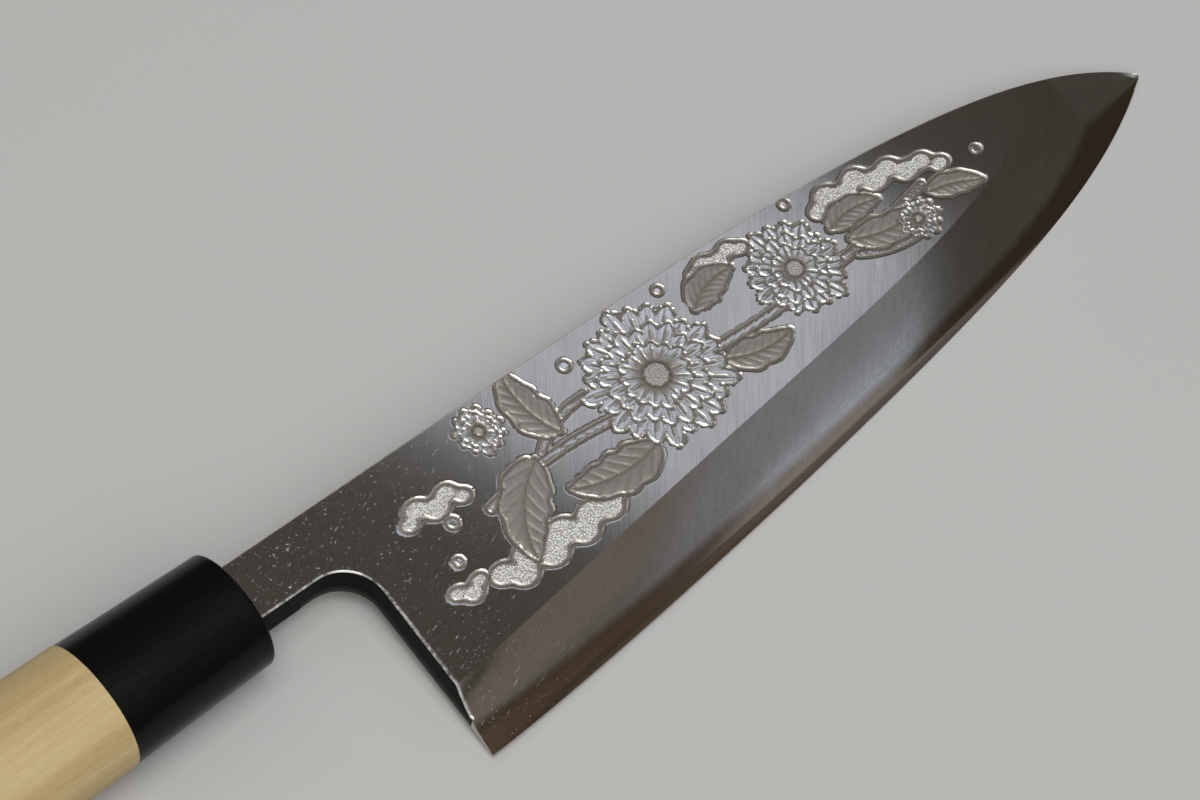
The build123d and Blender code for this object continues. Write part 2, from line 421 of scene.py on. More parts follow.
@dataclass
class Relief:
    """What the engraver left at each point of the front face."""

    height: np.ndarray
    patina: np.ndarray
    burnish: np.ndarray
    stipple: np.ndarray
    hatch: np.ndarray
    lines: np.ndarray

    @classmethod
    def plain(cls, shape: tuple[int, ...]) -> "Relief":
        """An untouched face."""
        return cls(*(np.zeros(shape) for _ in range(6)))

    def lay(self, mask: np.ndarray, height: np.ndarray, patina: np.ndarray, burnish: np.ndarray,
            stipple: object = 0.0, hatch: object = 0.0, lines: object = 0.0) -> None:
        """Puts one motif over what is there already, where the mask says.

        Args:
            mask: Where the motif is.
            height: Its relief, in millimetres, zero at the ground face.
            patina: Its darkness, 0 to 1.
            burnish: Its polish, 0 to 1.
            stipple: Its punched texture, 0 to 1.
            hatch: Count of hairlines up to each point.
            lines: How dark the hairlines are, 0 to 1.
        """
        self.height = np.where(mask, height, self.height)
        self.patina = np.where(mask, np.clip(patina, 0.0, 1.0), self.patina)
        self.burnish = np.where(mask, np.clip(burnish, 0.0, 1.0), self.burnish)
        self.stipple = np.where(mask, stipple, self.stipple)
        self.hatch = np.where(mask, hatch, self.hatch)
        self.lines = np.where(mask, lines, self.lines)

    def outline(self, gap: np.ndarray, width: float, depth: float) -> None:
        """Cuts a dark groove just outside a motif: a half sine as wide as the width.

        Args:
            gap: Distance outside the motif's edge, negative inside it.
            width: The groove's width.
            depth: The groove's depth.
        """
        inside = (gap > 0) & (gap < width)
        groove = np.sin(np.pi * np.clip(gap / width, 0.0, 1.0))
        self.height = np.where(inside, np.minimum(self.height, -depth * groove), self.height)
        self.patina = np.where(inside, np.maximum(self.patina, groove), self.patina)
        self.burnish = np.where(inside, self.burnish * (1 - groove), self.burnish)
        self.stipple = np.where(inside, 0.0, self.stipple)
        self.lines = np.where(inside, 0.0, self.lines)


@dataclass(frozen=True)
class Arc:
    """A stretch of circle that a leaf or stem follows: start, heading and bend in degrees."""

    start: tuple[float, float]
    heading: float
    length: float
    bend: float

    def local(self, x: np.ndarray, y: np.ndarray) -> tuple[np.ndarray, np.ndarray]:
        """Place beside the arc, from the polar coordinates about the arc's centre.

        Args:
            x: Place along the knife.
            y: Height on the face.

        Returns:
            The way along the arc and the offset to its left, both in millimetres.
        """
        turn = math.radians(self.bend)
        radius = abs(self.length / turn)
        side = math.copysign(1.0, turn)
        heading = math.radians(self.heading)
        start_x, start_y = side * radius * math.sin(heading), -side * radius * math.cos(heading)
        from_x = x - (self.start[0] - start_x)
        from_y = y - (self.start[1] - start_y)
        cross = start_x * from_y - start_y * from_x
        dot = start_x * from_x + start_y * from_y
        return np.arctan2(side * cross, dot) * radius, side * (radius - np.hypot(from_x, from_y))


@dataclass(frozen=True)
class Leaf:
    """A lobed leaf on a curved midrib."""

    rib: Arc
    width: float
    lobes: int = 4
    tone: float = 0.60
    lobe_depth: float = 0.16
    vein_count: float = 7.0
    vein_slant: float = 1.1
    vein_width: float = 0.16
    vein_depth: float = 0.18
    rib_width: float = 0.36
    bulge: float = 0.12
    sink: float = 0.13
    hatch_count: float = 42.0
    groove: tuple[float, float] = (1.15, 0.40)

    def engrave(self, relief: Relief, x: np.ndarray, y: np.ndarray) -> None:
        """Cuts the leaf: a pointed oval with a scalloped rim, falling from its rim to its veins.

        Args:
            relief: The face so far.
            x: Place along the knife.
            y: Height on the face.
        """
        way, offset = self.rib.local(x, y)
        share = np.clip(way / self.rib.length, 0.0, 1.0)
        scallop = 1 - self.lobe_depth * np.sin(np.pi * self.lobes * share) ** 2 * np.sin(np.pi * share)
        half = self.width / 2 * np.sin(np.pi * share**0.8) ** 0.75 * scallop
        beyond = np.maximum(np.maximum(-way, way - self.rib.length), 0.0)
        gap = np.where(beyond > 0, np.hypot(beyond, offset), np.abs(offset) - half)
        crest = np.abs(offset) / np.maximum(half, 0.2)
        slant = way - np.abs(offset) * self.vein_slant
        turns = slant / self.rib.length
        veins = bell((turns * self.vein_count) % 1.0 - 0.5, self.vein_width) * (crest < 0.93)
        cut = np.maximum(bell(offset, self.rib_width), 0.8 * veins)
        bulge = self.bulge * np.sin(np.pi * np.clip(crest, 0, 1))
        relief.outline(gap, *self.groove)
        relief.lay(gap < 0, -self.sink - self.vein_depth * cut + bulge, np.maximum(0.95 * cut, self.tone),
                   (0.9 - self.tone) * np.clip(crest, 0, 1) ** 2 * (1 - cut), 0.0,
                   turns * self.hatch_count, 0.75)


@dataclass(frozen=True)
class Bloom:
    """A many-petalled bloom: rings of uneven petals about a stippled heart."""

    centre: tuple[float, float]
    radius: float
    petals: int
    tilt: float
    rings: int = 3
    ring_step: float = 0.26
    ring_fewer: int = 4
    root_share: float = 0.30
    rib_width: float = 0.22
    rib_depth: float = 0.10
    shade_depth: float = 0.14
    cup: float = 0.15
    sink: float = 0.16
    groove: tuple[float, float] = (0.85, 0.40)
    heart_share: float = 0.17
    heart_groove: tuple[float, float] = (0.6, 0.32)
    far: float = 9.0

    def engrave(self, relief: Relief, x: np.ndarray, y: np.ndarray) -> None:
        """Cuts the rings from the outside in, each petal a tongue that widens to its round end.

        Args:
            relief: The face so far.
            x: Place along the knife.
            y: Height on the face.
        """
        over_x, over_y = x - self.centre[0], y - self.centre[1]
        distance = np.hypot(over_x, over_y)
        angle = np.arctan2(over_y, over_x)
        for ring in range(self.rings):
            count = self.petals - self.ring_fewer * ring
            reach = self.radius * (1 - self.ring_step * ring)
            turn = (angle + self.tilt + 0.9 * ring) / (2 * np.pi) * count
            number = np.round(turn)
            uneven = 1 + 0.07 * np.sin(number * 2.4 + ring) + 0.04 * np.sin(number * 5.3)
            root = reach * self.root_share
            share = (distance - root) / (reach * uneven - root)
            held = np.clip(share, 0.0, 1.0)
            lateral = (turn - number) / count * 2 * np.pi * distance
            tongue = np.sqrt(np.clip(1 - np.clip((held - 0.72) / 0.28, 0, 1) ** 2, 0, 1))
            half = np.pi * reach / count * 0.96 * (0.45 + 0.55 * held) * tongue
            beyond = np.maximum(share - 1, 0) * (reach * uneven - root)
            gap = np.where(share > 1, np.hypot(beyond, lateral), np.abs(lateral) - half)
            crest = np.clip(np.abs(lateral) / np.maximum(half, 0.15), 0, 1)
            groove = bell(lateral, self.rib_width) * (held > 0.15) * (held < 0.8)
            cup = self.cup * np.sin(np.pi * crest) * held
            shade = smooth((0.62 - held) / 0.5)
            relief.outline(np.where(distance > root, gap, self.far), *self.groove)
            height = -self.sink - self.shade_depth * shade + cup - self.rib_depth * groove
            relief.lay((gap < 0) & (distance > root * 0.9), height, np.maximum(0.95 * shade, 0.8 * groove),
                       smooth((held - 0.35) / 0.5) * (1 - groove),
                       0.0, lateral / np.maximum(half, 0.15) * 2.5, 0.9 * (1 - 0.6 * held))
        heart = distance - self.radius * self.heart_share
        relief.outline(heart, *self.heart_groove)
        relief.lay(heart < 0, -0.08 - 0.1 * distance / self.radius, 0.55 + 0 * distance,
                   0.4 + 0 * distance, 1.0)


@dataclass(frozen=True)
class Stem:
    """A bare stem along an arc."""

    line: Arc
    width: float = 0.9
    groove: tuple[float, float] = (0.9, 0.30)

    def engrave(self, relief: Relief, x: np.ndarray, y: np.ndarray) -> None:
        """Cuts a round cord with a dark groove on each side.

        Args:
            relief: The face so far.
            x: Place along the knife.
            y: Height on the face.
        """
        way, offset = self.line.local(x, y)
        beyond = np.maximum(np.maximum(-way, way - self.line.length), 0.0)
        gap = np.hypot(beyond, offset) - self.width / 2
        relief.outline(gap, *self.groove)
        crest = np.clip(np.abs(offset) / (self.width / 2), 0, 1)
        relief.lay(gap < 0, -0.10 - 0.08 * crest, 0.2 * crest, 0.7 * (1 - crest))


@dataclass(frozen=True)
class Cloud:
    """A drifting cloud of overlapping rounds with a punched inside."""

    puffs: tuple[tuple[float, float, float], ...]
    melt: float = 0.7
    squash: float = 1.25
    far: float = 20.0
    inner_width: float = 0.45
    groove: tuple[float, float] = (0.95, 0.30)

    def engrave(self, relief: Relief, x: np.ndarray, y: np.ndarray) -> None:
        """Cuts the melted union of the rounds: minus the log of the summed exponentials of their gaps.

        Args:
            relief: The face so far.
            x: Place along the knife.
            y: Height on the face.
        """
        gaps = np.stack([np.hypot(x - px, (y - py) * self.squash) - r for px, py, r in self.puffs])
        gap = -self.melt * np.log(np.exp(-np.minimum(gaps, self.far) / self.melt).sum(axis=0))
        relief.outline(gap, *self.groove)
        inner = smooth(-gap / self.inner_width)
        relief.lay(gap < 0, -0.04 - 0.10 * inner, 0 * inner, 0.55 * inner, inner)


@dataclass(frozen=True)
class Dew:
    """A few round drops."""

    drops: tuple[tuple[float, float, float], ...]
    groove: tuple[float, float] = (0.8, 0.28)

    def engrave(self, relief: Relief, x: np.ndarray, y: np.ndarray) -> None:
        """Cuts a groove round each drop and polishes its top.

        Args:
            relief: The face so far.
            x: Place along the knife.
            y: Height on the face.
        """
        for drop_x, drop_y, radius in self.drops:
            gap = np.hypot(x - drop_x, y - drop_y) - radius
            relief.outline(gap, *self.groove)
            relief.lay(gap < 0, -0.05 + 0 * gap, 0 * gap, 0.9 + 0 * gap)


@dataclass(frozen=True)
class Engraving:
    """The whole design on the front face."""

    margin: float = 1.5

    def motifs(self) -> list[object]:
        """The motifs from the back to the front.

        Returns:
            Clouds, stems, leaves, blooms and dew.
        """
        return [
            Cloud(((45, -26, 2.4), (48.5, -28.5, 2.6), (52, -25.5, 3.1), (56, -28.4, 2.8), (60, -25.8, 3.2),
                   (64, -28.4, 2.6), (67.5, -26, 2.8), (71.5, -27.6, 2.2), (74.5, -25.6, 1.9))),
            Cloud(((150, -1.5, 2.0), (153.5, 0.6, 2.3), (157, -1.5, 2.6), (161, 0.2, 2.4), (164.5, -2.6, 2.6),
                   (168.5, -1.8, 2.2), (171.5, -4.6, 2.4), (175.5, -4.6, 2.0), (178.5, -7.2, 1.7))),
            Cloud(((119, 2.0, 1.5), (122, 3.0, 1.7), (125, 1.6, 2.0), (128.5, 2.8, 1.6), (131, 1.4, 1.3))),
            Cloud(((37, -7.5, 1.5), (40, -5.6, 2.0), (43.5, -7.8, 2.4), (47, -6.2, 1.8), (49.5, -8.6, 1.4))),
            Cloud(((35, -24, 1.3), (37.8, -25.8, 1.7), (40.5, -24.2, 1.3))),
            Stem(Arc((52, -14), 12, 40, -26)),
            Stem(Arc((112, -13), -4, 60, 16)),
            Stem(Arc((68, -10.5), 38, 16, -42), 0.7),
            Stem(Arc((150, -13.5), -32, 14, 34), 0.7),
            Leaf(Arc((66, -11), 205, 22, 52), 9.5, 4),
            Leaf(Arc((74, -9), 118, 17, -46), 8.0, 3),
            Leaf(Arc((88, -22), 196, 21, -44), 8.5, 4),
            Leaf(Arc((112, -16), -30, 15, 40), 6.5, 3),
            Leaf(Arc((114, -4), 40, 13, -50), 6.5, 3),
            Leaf(Arc((151, -10), -28, 18, 40), 6.5, 3),
            Leaf(Arc((149, -6), 22, 13, -44), 5.5, 3),
            Leaf(Arc((172, -11), -6, 12, -28), 4.6, 3),
            Bloom((137, -8.5), 10.0, 17, 0.4, 3),
            Bloom((98, -10.5), 14.8, 23, 0.1, 3),
            Bloom((61, 0.3), 4.6, 11, 0.7, 2),
            Bloom((166, -14.4), 4.2, 11, 1.9, 2),
            Dew(((84, 1.5, 0.9), (110.5, 3.6, 0.7), (44, -12, 0.9), (39.5, -19, 0.7), (145, 3.8, 0.7),
                 (187, -9, 0.7))),
        ]

    def cut(self, x: np.ndarray, y: np.ndarray, rim: np.ndarray) -> Relief:
        """Works the design out over the face.

        Args:
            x: Place along the knife.
            y: Height on the face.
            rim: Distance from the face's nearest edge, where the work fades out.

        Returns:
            The relief at each point.
        """
        relief = Relief.plain(x.shape)
        for motif in self.motifs():
            motif.engrave(relief, x, y)
        relief.height = relief.height * smooth(rim / self.margin)
        return relief


# The blade's two pieces


@dataclass(frozen=True)
class Lattice:
    """The columns and rows that the blade's surfaces are drawn on."""

    lines: BladeLines
    columns: int = 600
    rows: int = 128
    neck_rows: int = 60
    bevel_rows: int = 10
    band_rows: int = 10
    straight_columns: int = 34
    round_columns: int = 22
    fine_start: float = 38.0
    fine_end: float = 192.0
    coarse_share: float = 0.5
    lean_reach: float = 8.0
    crowding: float = 2.0
    band_lead: float = 0.04
    band_trail: float = 0.16
    samples: int = 2001
    fade_reach: float = 6.0
    knee_reach: float = 20.0
    inset_reach: float = 3.0
    foot_columns: int = 6

    def stations(self) -> np.ndarray:
        """Places of the columns along the blade, closer together where it is engraved.

        Returns:
            One x for each column.
        """
        x = np.linspace(self.lines.heel_x, self.lines.point_x, self.samples)
        rising = smooth((x - self.fine_start) / self.fade_reach)
        fine = rising * smooth((self.fine_end - x) / self.fade_reach)
        density = self.coarse_share + (1 - self.coarse_share) * fine
        total = np.concatenate([[0], np.cumsum((density[1:] + density[:-1]) / 2)])
        return np.interp(np.linspace(0, total[-1], self.columns + 1), total, x)

    def sheared(self, station: np.ndarray, y: np.ndarray, inset: float) -> np.ndarray:
        """The x of a column at a height: columns lean with the heel's face and straighten further on.

        Args:
            station: The column's own place.
            y: Height on the blade.
            inset: How far the first column stands in from the heel's face.

        Returns:
            The x of each point.
        """
        lines = self.lines
        past = station - lines.heel_x
        lean = lines.heel_lean_share * (y + lines.heel_depth) * np.exp(-past / self.lean_reach)
        return station + lean + inset * np.clip(1 - past / self.inset_reach, 0, 1)

    def face(self, inset: float) -> np.ndarray:
        """Points of the front face, rows from the spine to the ridge.

        Args:
            inset: How far the first column stands in from the heel's face.

        Returns:
            Points as rows by columns.
        """
        lines = self.lines
        station = self.stations()[None, :]
        step = np.arange(self.rows + 1)[:, None]
        even = self.neck_rows / self.rows
        end_x, end_y = lines.fillet_end
        at_heel = (lines.spine_rise - end_y) / float(lines.ridge_drop(end_x))
        knee = even + (at_heel - even) * np.exp(-(station - lines.heel_x) / self.knee_reach)
        upper = step / self.neck_rows * knee
        lower = knee + (step - self.neck_rows) / (self.rows - self.neck_rows) * (1 - knee)
        share = np.where(step <= self.neck_rows, upper, lower)
        corner = lines.chamfer_at(station)
        first_drop = corner + share * (lines.ridge_drop(station) - corner)
        x = self.sheared(station, lines.spine_y(station) - first_drop, inset)
        corner = lines.chamfer_at(x)
        drop = corner + share * (lines.ridge_drop(x) - corner)
        return stack(x, lines.spine_y(x) - drop, lines.face_z(x, drop))

    def bevel(self, above: bool, inset: float) -> np.ndarray:
        """Points of the bevel, above the weld for the iron and below it for the steel.

        Args:
            above: True for the part from the ridge to the weld, False for the rest.
            inset: How far the first column stands in from the heel's face.

        Returns:
            Points as rows by columns, rows from the ridge towards the edge.
        """
        lines = self.lines
        station = self.stations()[None, :]
        x = self.sheared(station, lines.bevel(station, self.way(above, station))[0], inset)
        return stack(x, *lines.bevel(x, self.way(above, x)))

    def way(self, above: bool, x: np.ndarray) -> np.ndarray:
        """Rows across the bevel as shares of its width, crowded towards the weld by a power.

        Args:
            above: True for the part from the ridge to the weld, False for the rest.
            x: Place along the knife.

        Returns:
            The share at each row and column, 0 at the ridge and 1 at the edge.
        """
        weld = self.lines.weld_way(x)
        if above:
            return weld * (1 - np.linspace(1, 0, self.bevel_rows + 1)[:, None] ** self.crowding)
        return weld + (1 - weld) * np.linspace(0, 1, self.band_rows + 1)[:, None] ** self.crowding

    def band(self, above: bool) -> np.ndarray:
        """How much of the hard steel's band shows, its brown partly a painted warm reflection: it rises
        softly across the weld.

        Args:
            above: True for the part from the ridge to the weld, False for the rest.

        Returns:
            The share at each row and column, 0 to 1.
        """
        station = self.stations()[None, :]
        past = self.way(above, station) - self.lines.weld_way(station)
        return smooth((past + self.band_lead) / (self.band_lead + self.band_trail))

    def neck_paths(self, inset: float) -> tuple[np.ndarray, np.ndarray]:
        """The neck's upper and lower outline, from the collar to the heel.

        The lower one is a straight line and then the round's arc about its centre.

        Args:
            inset: How far the face's edge stands in from the neck's sides.

        Returns:
            Two arrays of x and y, one point for each column of the neck.
        """
        lines = self.lines
        centre_x, centre_y = lines.fillet_centre
        end_x, end_y = lines.fillet_end
        before = np.linspace(lines.neck_start_x, lines.steel_start_x, self.straight_columns)
        after = np.linspace(lines.steel_start_x, centre_x, self.foot_columns)
        straight = np.concatenate([before, after])
        last = math.atan2(end_y - centre_y, end_x - centre_x)
        angle = np.linspace(math.pi / 2, last, self.round_columns + 1)[1:]
        radius = lines.neck_radius + inset
        low_x = np.concatenate([straight, centre_x + radius * np.cos(angle)])
        low_y = np.concatenate([np.full(straight.size, inset - lines.neck_drop),
                                centre_y + radius * np.sin(angle)])
        corner_x = float(lines.heel_line_x(lines.spine_rise)) + inset
        top_x = np.concatenate([straight, np.linspace(centre_x, corner_x, self.round_columns + 1)[1:]])
        return np.stack([top_x, np.full(top_x.size, lines.spine_rise)], -1), np.stack([low_x, low_y], -1)

    def underside_z(self, x: np.ndarray) -> np.ndarray:
        """Underside of the iron in the neck: the blade's back, and the weld past the steel's start.

        The two points of the doubled column stand one on each side of the step.

        Args:
            x: Places of the neck's columns.

        Returns:
            The z at each place.
        """
        lines = self.lines
        below = np.where(x < lines.steel_start_x + 1e-6, lines.back_z, lines.weld_z(x))
        below[self.straight_columns] = lines.weld_z(x[self.straight_columns])
        return below


@dataclass(frozen=True)
class IronBody:
    """Soft iron: the neck, the tang, the engraved face and the bevel down to the weld."""

    lattice: Lattice
    tang_length: float = 92.0
    tang_shoulder: float = 0.9
    tang_tail_height: float = 6.0
    tang_tail_thickness: float = 4.0
    foot_line: float = 0.25
    burr: float = 0.15

    def build(self, knife: KnifeFrame, engraving: Engraving) -> bpy.types.Object:
        """Builds the closed piece.

        Args:
            knife: The knife's frame.
            engraving: The design on the front face.

        Returns:
            The piece, without its material.
        """
        lattice, lines = self.lattice, self.lattice.lines
        corner = lines.chamfer
        weave = Weave()
        face = lattice.face(corner)
        relief = self.engraved(face, engraving)
        face[..., 2] += relief.height
        last_row = np.arange(lattice.rows + 1)[:, None] == lattice.rows
        face_ids = weave.grid(face, patina=relief.patina, burnish=relief.burnish, stipple=relief.stipple,
                              hatch=relief.hatch, lines=relief.lines, ridge=last_row)
        bevel = lattice.bevel(True, corner)
        first_row = np.arange(lattice.bevel_rows + 1)[:, None] == 0
        bevel_ids = weave.grid(bevel, band=lattice.band(True), ridge=first_row)
        neck = self.neck(face[:, 0])
        neck_ids = weave.grid(neck)

        # Spine: the chamfer and the wall down to the weld
        top_row = np.concatenate([neck[0], face[0]])
        x = top_row[:, 0]
        wall_y = lines.spine_y(x)
        below = np.concatenate([lattice.underside_z(neck[0, :, 0]), lines.weld_z(face[0, :, 0])])
        spine_low = stack(x, wall_y, below)
        # The chamfer's polish paints a faint bright line along the spine: partly ground steel, partly a
        # painted rim highlight.
        spine_ids = weave.grid(np.stack([top_row, stack(x, wall_y, top_row[:, 2] - lines.chamfer_at(x)),
                                         spine_low]),
                               polish=np.array([[0.2], [0.3], [0.0]]), forge=np.array([[0.0], [0.0], [1.0]]))

        # Neck's underside and heel's face: the chamfer and the wall down
        true_low = lattice.neck_paths(0.0)[1]
        heel_top = np.concatenate([face[lattice.neck_rows:, 0], bevel[1:, 0]])
        top_row = np.concatenate([neck[-1], heel_top])
        heel_x = heel_top[:, 0] - corner
        path_x = np.concatenate([true_low[:, 0], heel_x])
        path_y = np.concatenate([true_low[:, 1], heel_top[:, 1]])
        below = np.concatenate([lattice.underside_z(true_low[:, 0]), lines.weld_z(heel_x)])
        high = np.maximum(top_row[:, 2] - corner, below)
        low = below + self.foot_line * np.clip(high - below, 0, 1)
        levels = [high, np.maximum(high - self.burr, low), (high + low) / 2, low, below]
        walls = [stack(path_x, path_y, level) for level in levels]
        # The chamfer's top rows are polished: partly ground steel through the scale, partly a painted rim
        # highlight along the edge.
        path_ids = weave.grid(np.stack([top_row, *walls]),
                              polish=np.array([[0.7], [0.9], [0.0], [0.0], [0.0], [0.0]]),
                              forge=np.array([[0.0], [0.1], [1.0], [1.0], [1.0], [1.0]]))

        # Underside: the neck's back with its step, and the weld
        neck_count = neck.shape[1]
        weave.grid(np.stack([spine_low[:neck_count], walls[-1][:neck_count]]), forge=1.0)
        under_ids = weave.grid(np.stack([spine_low[neck_count + 1:], bevel[-1, 1:]]))
        weave.flat([spine_ids[-1, neck_count], *path_ids[-1, neck_count - 1:], path_ids[0, -1],
                    under_ids[1, 0], under_ids[0, 0]])
        weave.flat([spine_ids[-1, -1], spine_ids[1, -1], *face_ids[:, -1], *bevel_ids[1:, -1]])
        self.add_tang(weave, neck_ids, spine_ids, path_ids)
        return weave.build("iron_body", knife)

    def neck(self, heel: np.ndarray) -> np.ndarray:
        """Points of the neck's front face, rows shared with the blade's first column.

        Args:
            heel: The face's first column, from the spine down.

        Returns:
            Points as rows by columns, the last column being the heel's own.
        """
        lattice, lines = self.lattice, self.lattice.lines
        top, low = lattice.neck_paths(lines.chamfer)
        heel = heel[:lattice.neck_rows + 1]
        share = ((heel[:, 1] - heel[0, 1]) / (heel[-1, 1] - heel[0, 1]))[:, None]
        x = top[None, :, 0] + (low[:, 0] - top[:, 0])[None] * share
        start_y = top[:, 1] - lines.chamfer
        y = start_y[None] + (low[:, 1] - start_y)[None] * share
        neck = stack(x, y, lines.face_z(x, lines.spine_rise - y))
        neck[:, -1] = heel
        return neck

    def engraved(self, face: np.ndarray, engraving: Engraving) -> Relief:
        """The relief over the face, fading out at its edges.

        Args:
            face: Points of the front face.
            engraving: The design on it.

        Returns:
            The relief at each point.
        """
        lines = self.lattice.lines
        x, y = face[..., 0], face[..., 1]
        spine_gap = lines.spine_y(x) - y
        ridge_gap = lines.ridge_drop(x) - spine_gap
        rim = np.minimum(np.minimum(spine_gap, ridge_gap), (x - lines.heel_line_x(y)) / 2)
        return engraving.cut(x, y, rim)

    def add_tang(self, weave: Weave, neck_ids: np.ndarray, spine_ids: np.ndarray,
                 path_ids: np.ndarray) -> None:
        """Adds the shoulder and the tapered tang, four-sided, from the neck's end to its tail.

        Args:
            weave: The mesh so far.
            neck_ids: Points of the neck's front face.
            spine_ids: Points of the spine's strip.
            path_ids: Points of the underside's strip.
        """
        lines = self.lattice.lines
        middle = (lines.spine_rise - lines.neck_drop) / 2
        height = lines.spine_rise + lines.neck_drop - 2 * self.tang_shoulder
        depth = lines.neck_thickness - 2 * self.tang_shoulder
        corners = np.array([(1, 1), (1, -1), (-1, -1), (-1, 1)], float) / 2
        sizes = np.array([(height, depth), (self.tang_tail_height, self.tang_tail_thickness)])
        places = np.array([lines.neck_start_x, lines.neck_start_x - self.tang_length])
        rings = stack(places[:, None], middle + corners[None, :, 0] * sizes[:, None, 0],
                      corners[None, :, 1] * sizes[:, None, 1])
        ids = weave.grid(rings, wrap=True, forge=1.0)
        weave.flat(ids[1])
        top_front, top_back, low_back, low_front = ids[0]
        weave.flat([*neck_ids[:, 0], low_front, top_front])
        weave.flat([*spine_ids[:, 0], top_back, top_front])
        weave.flat([*path_ids[:, 0], low_back, low_front])
        weave.flat([spine_ids[-1, 0], path_ids[-1, 0], low_back, top_back])


@dataclass(frozen=True)
class EdgeSteel:
    """Hard steel: the whole back with its hollow, and the band along the cutting edge."""

    lattice: Lattice
    edge_left: float = 0.06
    wall_points: int = 12
    back_rows: int = 26
    hollow_depth: float = 0.45
    hollow_rim: float = 3.0
    hollow_rim_share: float = 0.3
    hollow_power: int = 3
    hollow_start: float = 34.0
    hollow_end: float = 208.0
    foot_line: float = 0.45

    def build(self, knife: KnifeFrame) -> bpy.types.Object:
        """Builds the closed piece.

        Args:
            knife: The knife's frame.

        Returns:
            The piece, without its material.
        """
        lattice, lines = self.lattice, self.lattice.lines
        weave = Weave()
        band = lattice.bevel(False, 0.0)
        band[-1, :, 2] = lines.back_z + self.edge_left
        band_ids = weave.grid(band, band=lattice.band(False))
        edge = band[-1].copy()
        edge[:, 2] = lines.back_z
        weave.grid(np.stack([band[-1], edge]), band=1.0)
        back = self.back(edge)
        back_ids = weave.grid(back)

        # Spine's side, from the neck to the tip
        top, low = (path[lattice.straight_columns:] for path in lattice.neck_paths(0.0))
        neck_count = top.shape[0]
        spine_x = np.concatenate([top[:, 0], back[-1, :, 0]])
        upper = stack(spine_x, lines.spine_y(spine_x), lines.weld_z(spine_x))
        lower = stack(spine_x, lines.spine_y(spine_x), lines.back_z)
        spine_ids = weave.grid(np.stack([upper, lower]))

        # Neck's underside and heel's face, down to the back
        wall_y = np.linspace(low[-1, 1], band[0, 0, 1], self.wall_points)
        wall_x = lines.heel_line_x(wall_y)
        wall = stack(wall_x, wall_y, lines.weld_z(wall_x))
        wall[-1] = band[0, 0]
        path_top = np.concatenate([stack(low[:, 0], low[:, 1], lines.weld_z(low[:, 0])), wall, band[1:, 0]])
        path_low = path_top.copy()
        path_low[:, 2] = lines.back_z
        middle = path_top.copy()
        middle[:, 2] = lines.back_z + np.minimum(self.foot_line, 0.5 * (path_top[:, 2] - lines.back_z))
        middle[-1] = path_low[-1]
        unground = np.arange(len(path_top)) < neck_count + self.wall_points
        # The lowest row's polish paints a bright line along the lower rim: partly ground steel, partly a
        # painted rim highlight.
        path_ids = weave.grid(np.stack([path_top, middle, path_low]),
                              forge=np.array([[1.0], [0.9], [0.0]]) * unground,
                              polish=np.array([[0.0], [0.1], [1.0]]) * unground)

        # Hidden top under the weld
        wall_end = neck_count + self.wall_points
        weave.grid(np.stack([upper[:neck_count], path_top[:neck_count]]))
        over_ids = weave.grid(np.stack([upper[neck_count + 1:], band[0, 1:]]))
        weave.flat([spine_ids[0, neck_count], *path_ids[0, neck_count - 1:wall_end], over_ids[1, 0],
                    over_ids[0, 0]])
        # The back in the neck, its front end inside the iron, and the tip
        weave.grid(np.stack([lower[:neck_count], path_low[:neck_count]]))
        weave.flat([spine_ids[0, 0], spine_ids[1, 0], path_ids[2, 0], path_ids[1, 0], path_ids[0, 0]])
        weave.flat([*band_ids[:, -1], *back_ids[:, -1], spine_ids[0, -1]])
        weave.flat([*path_ids[2, neck_count - 1:], *back_ids[1:, 0]])
        return weave.build("edge_steel_band", knife)

    def back(self, edge: np.ndarray) -> np.ndarray:
        """Points of the back, rows from the edge to the spine, sunk as a parabola inside its rim.

        Args:
            edge: The edge's points on the back.

        Returns:
            Points as rows by columns.
        """
        lattice, lines = self.lattice, self.lattice.lines
        station = lattice.stations()[None, :]
        height = lines.spine_y(station) - lines.edge_y(station)
        rim = np.minimum(self.hollow_rim, height * self.hollow_rim_share)
        inner = np.linspace(0, 1, self.back_rows - 1)[:, None]
        low_y = lines.edge_y(station)
        rows = np.concatenate([low_y, low_y + rim + inner * (height - 2 * rim), low_y + height])
        x = lattice.sheared(station, rows, 0.0)
        middle = (self.hollow_start + self.hollow_end) / 2
        reach = (self.hollow_end - self.hollow_start) / 2
        depth = self.hollow_depth * np.clip(1 - np.abs((x - middle) / reach) ** self.hollow_power, 0, 1)
        across = np.concatenate([[[0.0]], 4 * inner * (1 - inner), [[0.0]]])
        points = stack(x, rows, lines.back_z + depth * across)
        points[0] = edge
        points[-1, :, 1] = lines.spine_y(points[-1, :, 0])
        return points


# Collar and grip


class Outline(Enum):
    """Shape of a ring across the grip."""

    OVAL = "oval"
    BOX = "box"


@dataclass(frozen=True)
class Ring:
    """One ring across the grip: where it stands, its half sizes and its shape."""

    x: float
    half_width: float
    half_thickness: float
    shape: Outline = Outline.OVAL
    middle: float = 0.0

    def points(self, turn: np.ndarray) -> np.ndarray:
        """The ring's points: an ellipse, or the same angles pushed out to a rectangle.

        Args:
            turn: Angles round the grip.

        Returns:
            One point for each angle.
        """
        wide, thick = np.cos(turn), np.sin(turn)
        if self.shape is Outline.BOX:
            reach = np.maximum(np.abs(wide), np.abs(thick))
            wide, thick = wide / reach, thick / reach
        return stack(self.x, self.middle + self.half_width * wide, self.half_thickness * thick)


